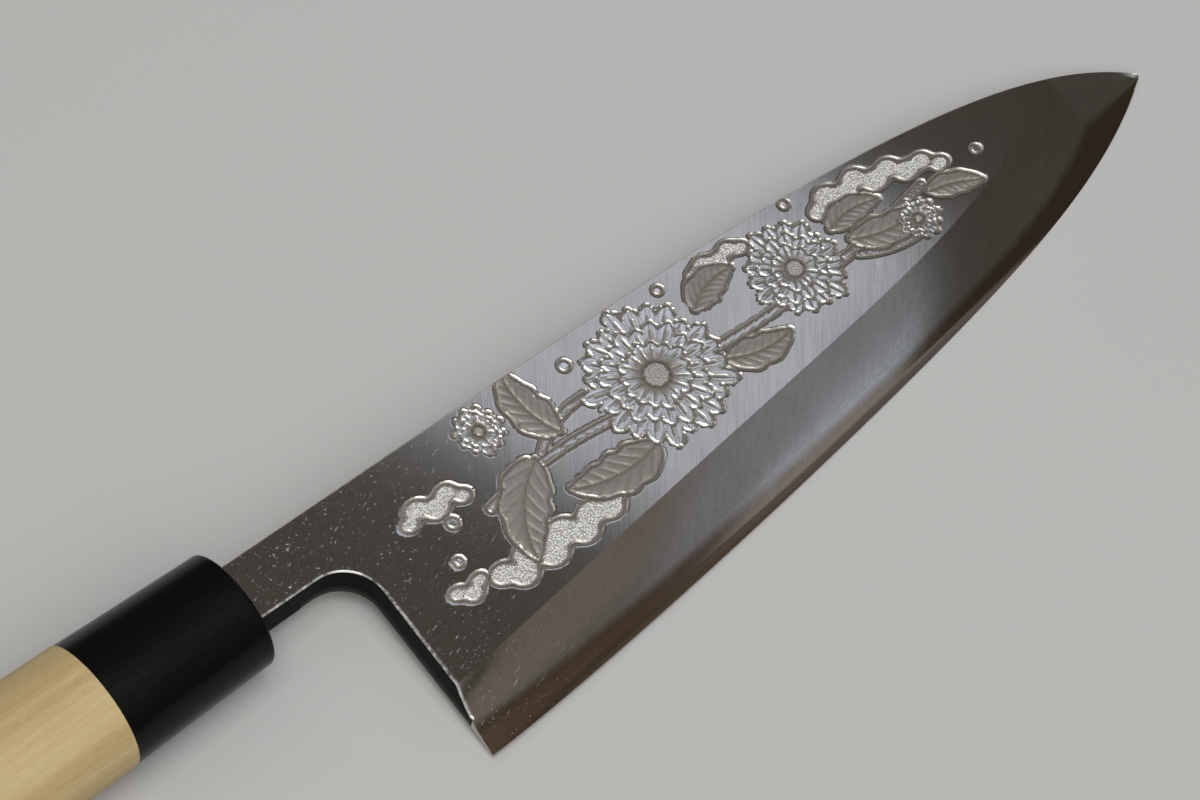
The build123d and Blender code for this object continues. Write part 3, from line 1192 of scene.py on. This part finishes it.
@dataclass(frozen=True)
class Collar:
    """Black collar: a cap with a slot for the neck and a bore for the wood."""

    length: float = 33.6
    front: tuple[float, float] = (12.7, 11.3)
    rear: tuple[float, float] = (13.8, 11.838)
    front_wall: float = 5.0
    wall: float = 2.6
    rim_radius: float = 0.6
    slot: tuple[float, float] = (6.9, 5.4)
    slot_middle: float = 0.35
    turns: int = 160
    side_rows: int = 48
    rim_rows: int = 8
    mould_ripple: float = 0.035

    def outer(self, x: float) -> tuple[float, float]:
        """Half sizes of the outside at x: a straight taper, sunk a hair in its middle.

        Args:
            x: Place along the knife.

        Returns:
            Half the width and half the thickness.
        """
        share = -x / self.length
        waist = self.mould_ripple * math.sin(math.pi * share)
        wide = self.front[0] + (self.rear[0] - self.front[0]) * share - waist
        return wide, self.front[1] + (self.rear[1] - self.front[1]) * share - waist

    def rings(self) -> list[Ring]:
        """The rings in order, from the rear rim forwards, in through the slot and back inside.

        Returns:
            The rings, from the rear rim to the bore's rear end.
        """
        bore = (self.front[0] - self.wall, self.front[1] - self.wall)
        places = np.linspace(-self.length, -self.rim_radius, self.side_rows).tolist()
        rings = [Ring(x, *self.outer(x)) for x in places]
        for angle in np.linspace(0, math.pi / 2, self.rim_rows + 1)[1:].tolist():
            x = -self.rim_radius * (1 - math.sin(angle))
            pull = self.rim_radius * (1 - math.cos(angle))
            wide, thick = self.outer(x)
            rings.append(Ring(x, wide - pull, thick - pull))
        return rings + [
            Ring(0.0, *self.slot, Outline.BOX, self.slot_middle),
            Ring(-self.front_wall, *self.slot, Outline.BOX, self.slot_middle),
            Ring(-self.front_wall, *bore),
            Ring(-self.length, *bore),
        ]

    def build(self, knife: KnifeFrame) -> bpy.types.Object:
        """Builds the closed piece: rings of one angle array, the last joined to the first.

        Args:
            knife: The knife's frame.

        Returns:
            The piece, without its material.
        """
        turn = np.arange(self.turns) * 2 * np.pi / self.turns
        rings = self.rings()
        weave = Weave()
        weave.grid(np.stack([ring.points(turn) for ring in rings + rings[:1]]), wrap=True)
        return weave.build("collar_shell", knife)


@dataclass(frozen=True)
class Grip:
    """Wooden grip: an oval bar that swells to the butt, with a tenon inside the collar."""

    start_x: float = -33.6
    end_x: float = -147.0
    stations: tuple[float, float, float] = (-33.6, -74.424, -147.0)
    half_widths: tuple[float, float, float] = (13.92, 14.6, 15.2)
    half_thicknesses: tuple[float, float, float] = (11.958, 12.1, 12.8)
    butt_radius: float = 2.0
    tenon: tuple[float, float] = (10.05, 8.65)
    tenon_x: float = -5.0
    bore_start: tuple[float, float] = (6.3, 4.8)
    bore_end: tuple[float, float] = (3.8, 2.8)
    bore_end_x: float = -100.0
    bore_middle: float = 0.35
    turns: int = 192
    side_rows: int = 90
    rim_rows: int = 8

    def outer(self, x: float) -> tuple[float, float]:
        """Half sizes of the outside at x: the parabola through the three stations.

        Args:
            x: Place along the knife.

        Returns:
            Half the width and half the thickness.
        """
        wide = np.polyfit(self.stations, self.half_widths, 2)
        thick = np.polyfit(self.stations, self.half_thicknesses, 2)
        return float(np.polyval(wide, x)), float(np.polyval(thick, x))

    def rings(self) -> list[Ring]:
        """The rings in order, from the butt's centre along the outside and back inside the bore.

        Returns:
            The rings, from the butt's centre to the bore's end.
        """
        wide, thick = self.outer(self.end_x)
        inner = (wide - self.butt_radius, thick - self.butt_radius)
        rings = [Ring(self.end_x, inner[0] * s, inner[1] * s) for s in (0.0, 0.25, 0.5, 0.75, 1.0)]
        for angle in np.linspace(0, math.pi / 2, self.rim_rows + 1)[1:].tolist():
            x = self.end_x + self.butt_radius * (1 - math.cos(angle))
            reach = self.butt_radius * (1 - math.sin(angle))
            wide, thick = self.outer(x)
            rings.append(Ring(x, wide - reach, thick - reach))
        places = np.linspace(self.end_x + self.butt_radius, self.start_x, self.side_rows)[1:].tolist()
        rings += [Ring(x, *self.outer(x)) for x in places]
        return rings + [
            Ring(self.start_x, *self.tenon),
            Ring(self.tenon_x, *self.tenon),
            Ring(self.tenon_x, *self.bore_start, Outline.BOX, self.bore_middle),
            Ring(self.bore_end_x, *self.bore_end, Outline.BOX, self.bore_middle),
            Ring(self.bore_end_x, 0.0, 0.0, Outline.OVAL, self.bore_middle),
        ]

    def build(self, knife: KnifeFrame) -> bpy.types.Object:
        """Builds the closed piece, whose two ends are poles.

        Args:
            knife: The knife's frame.

        Returns:
            The piece, without its material.
        """
        turn = np.arange(self.turns) * 2 * np.pi / self.turns
        weave = Weave()
        weave.grid(np.stack([ring.points(turn) for ring in self.rings()]), wrap=True)
        return weave.build("wooden_grip", knife)


# Finishes


class Recipe:
    """A material's nodes, put together one call at a time."""

    def __init__(self, name: str) -> None:
        """Starts an empty material.

        Args:
            name: The material's name.
        """
        self.material = bpy.data.materials.new(name)
        self.material.use_nodes = True
        self.tree = self.material.node_tree
        self.tree.nodes.clear()

    def node(self, kind: str, inputs: Optional[dict] = None, **settings: object) -> bpy.types.Node:
        """Adds a node.

        Args:
            kind: The node's type.
            inputs: What goes into its sockets, by name or number: a value or another output.
            settings: The node's own settings.

        Returns:
            The node.
        """
        made = self.tree.nodes.new(kind)
        for key, value in settings.items():
            setattr(made, key, value)
        for key, value in (inputs or {}).items():
            self.feed(made.inputs[key], value)
        return made

    def feed(self, socket: bpy.types.NodeSocket, value: object) -> None:
        """Puts a value or another node's output into a socket.

        Args:
            socket: The socket.
            value: A number, a colour of three numbers, a vector or an output.
        """
        if isinstance(value, bpy.types.NodeSocket):
            self.tree.links.new(value, socket)
        elif isinstance(value, tuple) and socket.type == "RGBA":
            socket.default_value = (*value, 1.0)
        else:
            socket.default_value = value

    def value(self, name: str) -> bpy.types.NodeSocket:
        """A point value of the mesh."""
        return self.node("ShaderNodeAttribute", attribute_name=name).outputs["Fac"]

    def place(self) -> bpy.types.NodeSocket:
        """The point's place in the knife's frame, in millimetres."""
        return self.node("ShaderNodeAttribute", attribute_name="place").outputs["Vector"]

    def maths(self, operation: str, first: object, second: object = 0.0, clamp: bool = False) -> object:
        """One sum of two numbers."""
        made = self.node("ShaderNodeMath", {0: first, 1: second}, operation=operation, use_clamp=clamp)
        return made.outputs[0]

    def dot(self, vector: object, direction: Sequence[float]) -> object:
        """How far a vector reaches along a direction."""
        made = self.node("ShaderNodeVectorMath", {0: vector, 1: tuple(direction)}, operation="DOT_PRODUCT")
        return made.outputs["Value"]

    def join(self, x: object, y: object, z: object = 0.0) -> object:
        """A vector of three numbers."""
        return self.node("ShaderNodeCombineXYZ", {0: x, 1: y, 2: z}).outputs[0]

    def scaled(self, vector: object, factors: Sequence[float]) -> object:
        """A vector stretched along each axis."""
        made = self.node("ShaderNodeVectorMath", {0: vector, 1: tuple(factors)}, operation="MULTIPLY")
        return made.outputs[0]

    def noise(self, vector: object, scale: float, detail: float = 3.0, rough: float = 0.5) -> object:
        """Soft noise between 0 and 1.

        Args:
            vector: Where it is read.
            scale: How fine it is.
            detail: How many finer layers it has.
            rough: How strong those layers are.

        Returns:
            The noise's factor.
        """
        inputs = {"Vector": vector, "Scale": scale, "Detail": detail, "Roughness": rough}
        return self.node("ShaderNodeTexNoise", inputs).outputs["Fac"]

    def cells(self, vector: object, scale: float) -> object:
        """Distance to the nearest of scattered points."""
        return self.node("ShaderNodeTexVoronoi", {"Vector": vector, "Scale": scale}).outputs["Distance"]

    def span(self, value: object, low: float, high: float, to_low: float = 0.0,
             to_high: float = 1.0) -> object:
        """Maps a range to another, held at its ends."""
        inputs = {"Value": value, "From Min": low, "From Max": high, "To Min": to_low, "To Max": to_high}
        return self.node("ShaderNodeMapRange", inputs).outputs["Result"]

    def blend(self, factor: object, first: object, second: object) -> object:
        """A colour between two colours.

        Args:
            factor: 0 for the first colour, 1 for the second.
            first: A colour or an output.
            second: A colour or an output.

        Returns:
            The blended colour.
        """
        made = self.node("ShaderNodeMix", {}, data_type="RGBA")
        for number, value in ((0, factor), (6, first), (7, second)):
            self.feed(made.inputs[number], value)
        return made.outputs[2]

    def between(self, factor: object, first: object, second: object) -> object:
        """A number between two numbers."""
        return self.node("ShaderNodeMix", {0: factor, 2: first, 3: second}, data_type="FLOAT").outputs[0]

    def bump(self, height: object, strength: float, distance: float, normal: object = None) -> object:
        """A normal leaned by a height.

        Args:
            height: The height, between 0 and 1.
            strength: How much of the lean counts.
            distance: The height of 1, in metres.
            normal: A normal to lean further.

        Returns:
            The new normal.
        """
        inputs = {"Height": height, "Strength": strength, "Distance": distance}
        if normal is not None:
            inputs["Normal"] = normal
        return self.node("ShaderNodeBump", inputs).outputs[0]

    def finish(self, **sockets: object) -> bpy.types.Material:
        """Ends in one surface shader.

        Args:
            sockets: What goes into it, with underscores for spaces.

        Returns:
            The material.
        """
        surface = self.tree.nodes.new("ShaderNodeBsdfPrincipled")
        for key, value in sockets.items():
            self.feed(surface.inputs[key.replace("_", " ")], value)
        output = self.tree.nodes.new("ShaderNodeOutputMaterial")
        self.tree.links.new(surface.outputs[0], output.inputs[0])
        return self.material


@dataclass(frozen=True)
class BladeFinish:
    """Ground and engraved blade metal, with forged scale where it was left unground; painted reflection,
    glints and rim highlights.
    """

    name: str
    bright: Colour = (0.60, 0.58, 0.54)
    dull: Colour = (0.45, 0.43, 0.39)
    patina: Colour = (0.048, 0.037, 0.024)
    # Bright metal of burnished relief, rubbed edges and chips; it also paints the stipple's glints and the
    # edges' rim highlights.
    burnish_and_highlight: Colour = (0.87, 0.87, 0.87)
    scale: Colour = (0.007, 0.007, 0.006)
    # The hard steel's edge band: partly its own darker tone, its brown a painted warm reflection.
    band: Colour = (0.30, 0.235, 0.175)
    ground_rough: float = 0.15
    band_rough: float = 0.14
    polish_rough: float = 0.26
    punched_rough: float = 0.5
    stained_rough: float = 0.6
    scale_rough: float = 0.62
    anisotropy: float = 0.5
    gloss: float = 0.05
    ground_depth: float = 0.00002
    punch_depth: float = 0.00022
    scale_depth: float = 0.0005
    stroke: tuple[float, float, float] = (0.6546, 0.7560, 0.0)
    across: tuple[float, float, float] = (0.7560, -0.6546, 0.0)
    scratch: tuple[float, float, float] = (0.94, 0.34, 0.0)
    beside: tuple[float, float, float] = (-0.34, 0.94, 0.0)

    def make(self, knife: KnifeFrame) -> bpy.types.Material:
        """Builds the material.

        Args:
            knife: The knife's frame, for the direction of the grinding.

        Returns:
            The material.
        """
        mix = Recipe(self.name)
        place = mix.place()
        forge, polish, stipple = mix.value("forge"), mix.value("polish"), mix.value("stipple")
        lengthwise, sideways = mix.dot(place, self.stroke), mix.dot(place, self.across)
        height = mix.dot(place, (0.0, 0.0, 1.0))
        fine = mix.noise(mix.join(sideways, mix.maths("MULTIPLY", lengthwise, 0.02), height), 6.0, 4, 0.7)
        broad = mix.noise(mix.join(sideways, mix.maths("MULTIPLY", lengthwise, 0.05), height), 0.8, 3, 0.6)
        cloud = mix.noise(place, 0.045, 4, 0.6)
        grain = mix.noise(place, 3.0, 6, 0.7)
        specks = mix.cells(place, 2.6)

        tone = mix.maths("ADD", mix.maths("MULTIPLY", fine, 0.5), mix.maths("MULTIPLY", broad, 0.2))
        tone = mix.maths("ADD", tone, mix.maths("MULTIPLY", cloud, 0.3))
        colour = mix.blend(mix.span(tone, 0.38, 0.62), self.dull, self.bright)
        ragged = mix.maths("MULTIPLY", mix.maths("SUBTRACT", broad, 0.5), 0.5)
        ragged = mix.maths("ADD", mix.value("band"), ragged)
        band = mix.span(ragged, 0.25, 0.95)
        # Blends in the edge band: the hard steel's own tone, with a brown that is a painted warm reflection.
        colour = mix.blend(band, colour, self.band)
        hair = self.hairlines(mix)
        stain = mix.maths("MAXIMUM", mix.value("patina"), hair)
        stain = mix.maths("MULTIPLY", stain, mix.span(grain, 0.25, 0.6, 0.65, 1.0), True)
        # Painted glints: bright dots on the punched stipple, set in the colour.
        painted_glint = mix.maths("MULTIPLY", stipple, mix.span(specks, 0.42, 0.20), True)
        # shine joins the burnished relief with the painted glints, the polished edges and the chips.
        shine = mix.maths("MAXIMUM", mix.maths("MULTIPLY", mix.value("burnish"), 0.8), painted_glint)
        # Polished edges: partly ground steel through the scale, partly a painted rim highlight, made whitish
        # by the lowered metal below.
        worn = mix.maths("MULTIPLY", polish, mix.span(mix.noise(place, 0.6, 4, 0.75), 0.38, 0.62, 0.1, 1.0))
        knocks = self.knocks(mix, place)
        shine = mix.maths("MAXIMUM", shine, mix.maths("MAXIMUM", worn, knocks))
        colour = mix.blend(shine, colour, self.burnish_and_highlight)
        pit = mix.maths("MULTIPLY", stipple, mix.span(specks, 0.42, 0.62), True)
        stain = mix.maths("MAXIMUM", stain, mix.maths("MULTIPLY", pit, 0.45))
        colour = mix.blend(stain, colour, self.patina)
        flaked = mix.span(mix.noise(place, 0.9, 5, 0.7), 0.25, 0.45, 0.97, 1.0)
        crust = mix.maths("MULTIPLY", forge, flaked, True)
        colour = mix.blend(crust, colour, self.scale)

        rough = mix.span(tone, 0.3, 0.7, self.ground_rough + 0.04, self.ground_rough - 0.03)
        rough = mix.between(band, rough, self.band_rough)
        rough = mix.between(shine, rough, self.polish_rough)
        rough = mix.between(mix.maths("MULTIPLY", stipple, 0.8), rough, self.punched_rough)
        rough = mix.between(stain, rough, self.stained_rough)
        rough = mix.between(crust, rough, self.scale_rough)
        coarse = mix.maths("MAXIMUM", mix.maths("MAXIMUM", stain, crust), mix.maths("MULTIPLY", worn, 0.8))
        dented = mix.maths("MULTIPLY", mix.maths("MAXIMUM", stipple, knocks), 0.75)
        coarse = mix.maths("MAXIMUM", coarse, dented)
        metal = mix.maths("SUBTRACT", 1.0, coarse, True)

        quiet = mix.maths("SUBTRACT", 1.0, mix.maths("MULTIPLY", band, 0.8))
        ground = mix.bump(mix.maths("MULTIPLY", fine, quiet), 0.3, self.ground_depth)
        punched = mix.bump(mix.maths("MULTIPLY", specks, stipple), 0.9, self.punch_depth, ground)
        lumps = mix.maths("MULTIPLY", mix.noise(place, 1.6, 6, 0.75), forge)
        rugged = mix.bump(lumps, 0.8, self.scale_depth, punched)
        return mix.finish(Base_Color=colour, Metallic=metal, Roughness=rough, Normal=rugged,
                          Anisotropic=self.anisotropy, Specular_IOR_Level=self.gloss,
                          Tangent=mix.join(*knife.turn(self.across)))

    def hairlines(self, mix: Recipe) -> bpy.types.NodeSocket:
        """Fine engraved lines: dark where the count of lines passes a whole number.

        Args:
            mix: The material in the making.

        Returns:
            How dark the lines are at each point, 0 to 1.
        """
        part = mix.maths("FRACT", mix.value("hatch"))
        off = mix.maths("ABSOLUTE", mix.maths("SUBTRACT", part, 0.5))
        return mix.maths("MULTIPLY", mix.value("lines"), mix.span(off, 0.34, 0.46))

    def knocks(self, mix: Recipe, place: bpy.types.NodeSocket) -> bpy.types.NodeSocket:
        """Small bright chips and scratches, most of them near the neck.

        Args:
            mix: The material in the making.
            place: The point's place.

        Returns:
            1 on a chip or scratch, 0 elsewhere.
        """
        lengthwise = mix.maths("MULTIPLY", mix.dot(place, self.scratch), 0.10)
        drawn = mix.join(lengthwise, mix.dot(place, self.beside))
        scratches = mix.span(mix.noise(drawn, 2.2, 3, 0.6), 0.64, 0.68)
        broken = mix.span(mix.noise(place, 0.35, 2, 0.5), 0.48, 0.58)
        chips = mix.span(mix.noise(place, 1.5, 4, 0.75), 0.62, 0.68)
        both = mix.maths("MAXIMUM", mix.maths("MULTIPLY", scratches, broken), chips)
        near = mix.span(mix.dot(place, (1.0, -0.35, 0.0)), 78.0, 20.0)
        return mix.maths("MULTIPLY", both, mix.maths("MULTIPLY", near, 0.75))


@dataclass(frozen=True)
class CollarFinish:
    """Satin black moulded plastic."""

    name: str
    base: Colour = (0.0028, 0.0027, 0.0026)
    worn: Colour = (0.0050, 0.0050, 0.0052)
    rough: float = 0.24
    ior: float = 1.27
    fine_depth: float = 0.00002
    drawn_depth: float = 0.00004

    def make(self) -> bpy.types.Material:
        """Builds the material.

        Returns:
            The material.
        """
        mix = Recipe(self.name)
        place = mix.place()
        drawn = mix.noise(mix.scaled(place, (0.05, 1.0, 1.0)), 1.6, 4, 0.6)
        fine = mix.noise(place, 4.0, 3, 0.6)
        colour = mix.blend(mix.span(drawn, 0.5, 0.75, 0.0, 0.3), self.base, self.worn)
        rough = mix.span(mix.maths("MULTIPLY", drawn, fine), 0.1, 0.45, self.rough - 0.02, self.rough + 0.06)
        normal = mix.bump(fine, 0.15, self.fine_depth, mix.bump(drawn, 0.03, self.drawn_depth))
        return mix.finish(Base_Color=colour, Roughness=rough, Normal=normal, IOR=self.ior)


@dataclass(frozen=True)
class WoodFinish:
    """Pale, oiled wood with fine lengthwise grain."""

    name: str
    pale: Colour = (0.500, 0.385, 0.195)
    warm: Colour = (0.400, 0.285, 0.125)
    pore: Colour = (0.210, 0.130, 0.052)
    fleck: Colour = (0.600, 0.480, 0.270)
    rough: float = 0.48
    pore_depth: float = 0.00006
    streak_depth: float = 0.00012

    def make(self) -> bpy.types.Material:
        """Builds the material.

        Returns:
            The material.
        """
        mix = Recipe(self.name)
        place = mix.place()
        wander = mix.noise(mix.scaled(place, (0.010, 0.10, 0.10)), 1.0, 3, 0.5)
        along, up = mix.dot(place, (1.0, 0.0, 0.0)), mix.dot(place, (0.0, 1.0, 0.0))
        deep = mix.dot(place, (0.0, 0.0, 1.0))
        swayed = mix.join(mix.maths("MULTIPLY", along, 0.012),
                          mix.maths("ADD", up, mix.maths("MULTIPLY", wander, 6.0)),
                          mix.maths("MULTIPLY", deep, 0.55))
        rings = mix.noise(swayed, 0.42, 3, 0.55)
        streaks = mix.noise(mix.scaled(place, (0.022, 1.0, 1.0)), 2.6, 4, 0.65)
        pores = mix.noise(mix.scaled(place, (0.11, 1.0, 1.0)), 5.5, 4, 0.65)
        colour = mix.blend(mix.span(rings, 0.35, 0.68), self.pale, self.warm)
        colour = mix.blend(mix.span(streaks, 0.50, 0.78, 0.0, 0.55), colour, self.warm)
        colour = mix.blend(mix.span(pores, 0.57, 0.72, 0.0, 0.45), colour, self.pore)
        colour = mix.blend(mix.span(pores, 0.45, 0.32, 0.0, 0.40), colour, self.fleck)
        grime = mix.noise(place, 0.06, 3, 0.6)
        colour = mix.blend(mix.span(grime, 0.55, 0.8, 0.0, 0.3), colour, self.warm)
        rough = mix.span(streaks, 0.3, 0.7, self.rough - 0.06, self.rough + 0.10)
        normal = mix.bump(pores, 0.45, self.pore_depth, mix.bump(streaks, 0.3, self.streak_depth))
        return mix.finish(Base_Color=colour, Roughness=rough, Normal=normal)


@dataclass(frozen=True)
class ResinFinish:
    """Dark resin that beds the tang and seals the slot."""

    name: str
    base: Colour = (0.030, 0.026, 0.022)
    light: Colour = (0.060, 0.052, 0.043)
    rough: tuple[float, float] = (0.42, 0.62)
    depth: float = 0.0001

    def make(self) -> bpy.types.Material:
        """Builds the material from the piece's own object coordinates.

        Returns:
            The material.
        """
        mix = Recipe(self.name)
        place = mix.node("ShaderNodeTexCoord").outputs["Object"]
        mottle = mix.noise(place, 900.0, 4, 0.6)
        colour = mix.blend(mix.span(mottle, 0.35, 0.7), self.base, self.light)
        rough = mix.span(mottle, 0.3, 0.7, *self.rough)
        return mix.finish(Base_Color=colour, Roughness=rough, Normal=mix.bump(mottle, 0.5, self.depth))


@dataclass(frozen=True)
class TableFinish:
    """Plain pale table top."""

    name: str
    base: Colour = (0.475, 0.472, 0.466)
    shade: Colour = (0.462, 0.459, 0.453)
    rough: float = 0.75
    gloss: float = 0.2

    def make(self) -> bpy.types.Material:
        """Builds the material.

        Returns:
            The material.
        """
        mix = Recipe(self.name)
        place = mix.node("ShaderNodeTexCoord").outputs["Object"]
        colour = mix.blend(mix.noise(place, 9.0, 4, 0.5), self.base, self.shade)
        return mix.finish(Base_Color=colour, Roughness=self.rough, Specular_IOR_Level=self.gloss)


# Studio


@dataclass(frozen=True)
class Lamp:
    """One soft area lamp, placed by azimuth (from +Y towards +X) and elevation and shifted in its plane."""

    name: str
    azimuth: float
    elevation: float
    distance: float
    size: tuple[float, float]
    radiance: float
    tint: Colour = (1.0, 1.0, 1.0)
    target: tuple[float, float, float] = (0.03, -0.005, 0.0)
    shift: tuple[float, float] = (0.0, 0.0)
    roll: float = 0.0

    def place(self) -> None:
        """Adds the lamp: its power gives the stated radiance over its face."""
        azimuth, elevation = math.radians(self.azimuth), math.radians(self.elevation)
        toward = Vector((math.sin(azimuth) * math.cos(elevation), math.cos(azimuth) * math.cos(elevation),
                         math.sin(elevation)))
        light = bpy.data.lights.new(self.name, "AREA")
        light.shape = "RECTANGLE"
        light.size, light.size_y = self.size
        light.energy = self.radiance * math.pi * self.size[0] * self.size[1]
        light.color = self.tint
        lamp = bpy.data.objects.new(self.name, light)
        spot = Matrix.Translation(Vector(self.target) + toward * self.distance)
        turn = toward.to_track_quat("Z", "Y").to_matrix().to_4x4() @ Matrix.Translation((*self.shift, 0.0))
        lamp.visible_camera = False
        lamp.matrix_world = spot @ turn @ Matrix.Rotation(math.radians(self.roll), 4, "Z")
        bpy.context.scene.collection.objects.link(lamp)


@dataclass(frozen=True)
class Studio:
    """Table, lamps, plain surroundings and the camera at the photograph's viewing angle."""

    floor_size: float = 4.0
    world_level: float = 0.075
    world_tint: Colour = (1.0, 0.91, 0.76)
    bank_tint: Colour = (1.0, 0.995, 0.985)
    face_mirror: tuple[float, float, float] = (72.6, 58.3, 0.33)
    face_roll: float = 10.0
    bevel_mirror: tuple[float, float, float] = (131.0, 49.7, 0.8)
    camera_place: tuple[float, float, float] = (-336.88679, -296.68297, 898.32425)
    camera_right: tuple[float, float, float] = (0.74823629, -0.64765674, 0.14381653)
    camera_up: tuple[float, float, float] = (0.52242723, 0.70880973, 0.47398159)
    lens: float = 159.0
    sensor: float = 36.0
    clip: tuple[float, float] = (0.01, 20.0)

    def lamps(self) -> list[Lamp]:
        """The lamps: three wide soft banks, and the panels that the face and bevel mirror.

        The panels stand where the face and the bevel mirror the surroundings towards the camera, at
        that place's azimuth, elevation and distance, each shifted within its plane.

        Returns:
            The lamps, in the order in which they are added.
        """
        face, bevel, roll = self.face_mirror, self.bevel_mirror, self.face_roll
        return [
            Lamp("top", -100.0, 75.0, 2.4, (1.6, 1.6), 3.9, self.bank_tint, (0.35, -0.20, 0.0)),
            Lamp("key", -25.0, 50.0, 2.4, (1.5, 1.5), 0.9, self.bank_tint, (0.25, 0.0, 0.0)),
            Lamp("fill", -145.0, 50.0, 2.4, (2.2, 2.2), 2.1, self.bank_tint, (0.30, -0.20, 0.0)),
            Lamp("panel", *face, (0.165, 0.107), 0.68, (0.93, 0.98, 1.18),
                 shift=(0.0375, -0.0272), roll=roll),
            Lamp("panel rim", *face, (0.10, 0.075), 0.42, (0.80, 0.97, 1.24),
                 shift=(0.068, -0.010), roll=roll),
            Lamp("bevel window", *bevel, (0.22, 0.26), 0.21, (0.95, 1.0, 1.25), shift=(0.062, -0.155)),
            Lamp("edge window", *bevel, (0.14, 0.11), 0.70, (0.84, 0.97, 1.20), shift=(0.098, 0.032)),
            Lamp("bevel warmth", *bevel, (0.42, 0.50), 0.12, (1.0, 0.82, 0.78), shift=(-0.23, -0.31)),
            Lamp("edge warmth", *bevel, (0.22, 0.18), 0.08, (1.0, 0.64, 0.44), shift=(-0.04, 0.10)),
        ]

    def build(self, knife: KnifeFrame) -> None:
        """Builds everything: the table, the lamps, the surroundings and the camera.

        Args:
            knife: The knife's frame, in which the camera's place is known.
        """
        mesh = bpy.data.meshes.new("table_top")
        half = self.floor_size / 2
        mesh.from_pydata([(-half, -half, 0), (half, -half, 0), (half, half, 0), (-half, half, 0)], [],
                         [(0, 1, 2, 3)])
        table = bpy.data.objects.new("table_top", mesh)
        mesh.materials.append(TableFinish("table_paint").make())
        bpy.context.scene.collection.objects.link(table)
        for lamp in self.lamps():
            lamp.place()
        world = bpy.data.worlds.new("surroundings")
        world.use_nodes = True
        world.node_tree.nodes["Background"].inputs[0].default_value = (*self.world_tint, 1.0)
        world.node_tree.nodes["Background"].inputs[1].default_value = self.world_level
        bpy.context.scene.world = world
        bpy.context.scene.view_settings.view_transform = "Standard"
        self.add_camera(knife)

    def add_camera(self, knife: KnifeFrame) -> None:
        """Adds the camera at the place and turn that the photograph's lines give.

        Args:
            knife: The knife's frame.
        """
        right, up = knife.turn(self.camera_right), knife.turn(self.camera_up)
        data = bpy.data.cameras.new("photo_camera")
        data.sensor_width = self.sensor
        data.lens = self.lens
        data.clip_start, data.clip_end = self.clip
        camera = bpy.data.objects.new("photo_camera", data)
        turn = Matrix((right, up, right.cross(up))).transposed().to_4x4()
        camera.matrix_world = Matrix.Translation(Vector(knife.to_row(self.camera_place))) @ turn
        bpy.context.scene.collection.objects.link(camera)
        bpy.context.scene.camera = camera


def dress(piece: bpy.types.Object, material: bpy.types.Material, slot: str, *nodes: str) -> None:
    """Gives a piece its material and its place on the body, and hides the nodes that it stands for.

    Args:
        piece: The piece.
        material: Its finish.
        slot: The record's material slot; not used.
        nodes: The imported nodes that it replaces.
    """
    piece.data.materials.clear()
    piece.data.materials.append(material)
    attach(piece, "root")
    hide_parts(*nodes)


def main() -> None:
    """Builds the pieces in order, dresses them and sets the stage."""
    logging.basicConfig(level=logging.INFO, format="%(name)s: %(message)s", force=True)
    grip = Grip()
    knife = KnifeFrame.from_record(frame["record"], -grip.end_x)
    lattice = Lattice(BladeLines())
    metal = BladeFinish("blade_metal").make(knife)

    dress(IronBody(lattice).build(knife, Engraving()), metal, "soft_iron", "blade_iron")
    dress(EdgeSteel(lattice).build(knife), metal, "hard_steel", "edge_steel")
    dress(Collar().build(knife), CollarFinish("collar_black").make(), "collar", "ferrule")
    dress(grip.build(knife), WoodFinish("grip_wood").make(), "grip_wood", "handle")
    resin = ResinFinish("dark_resin").make()
    for name in ("tang_bedding", "mouth_seal"):
        for place in frame["nodes"][name].material_slots:
            place.material = resin
        log.info("%s: packed solid in dark resin", name)
    Studio().build(knife)


if __name__ == "__main__":
    main()
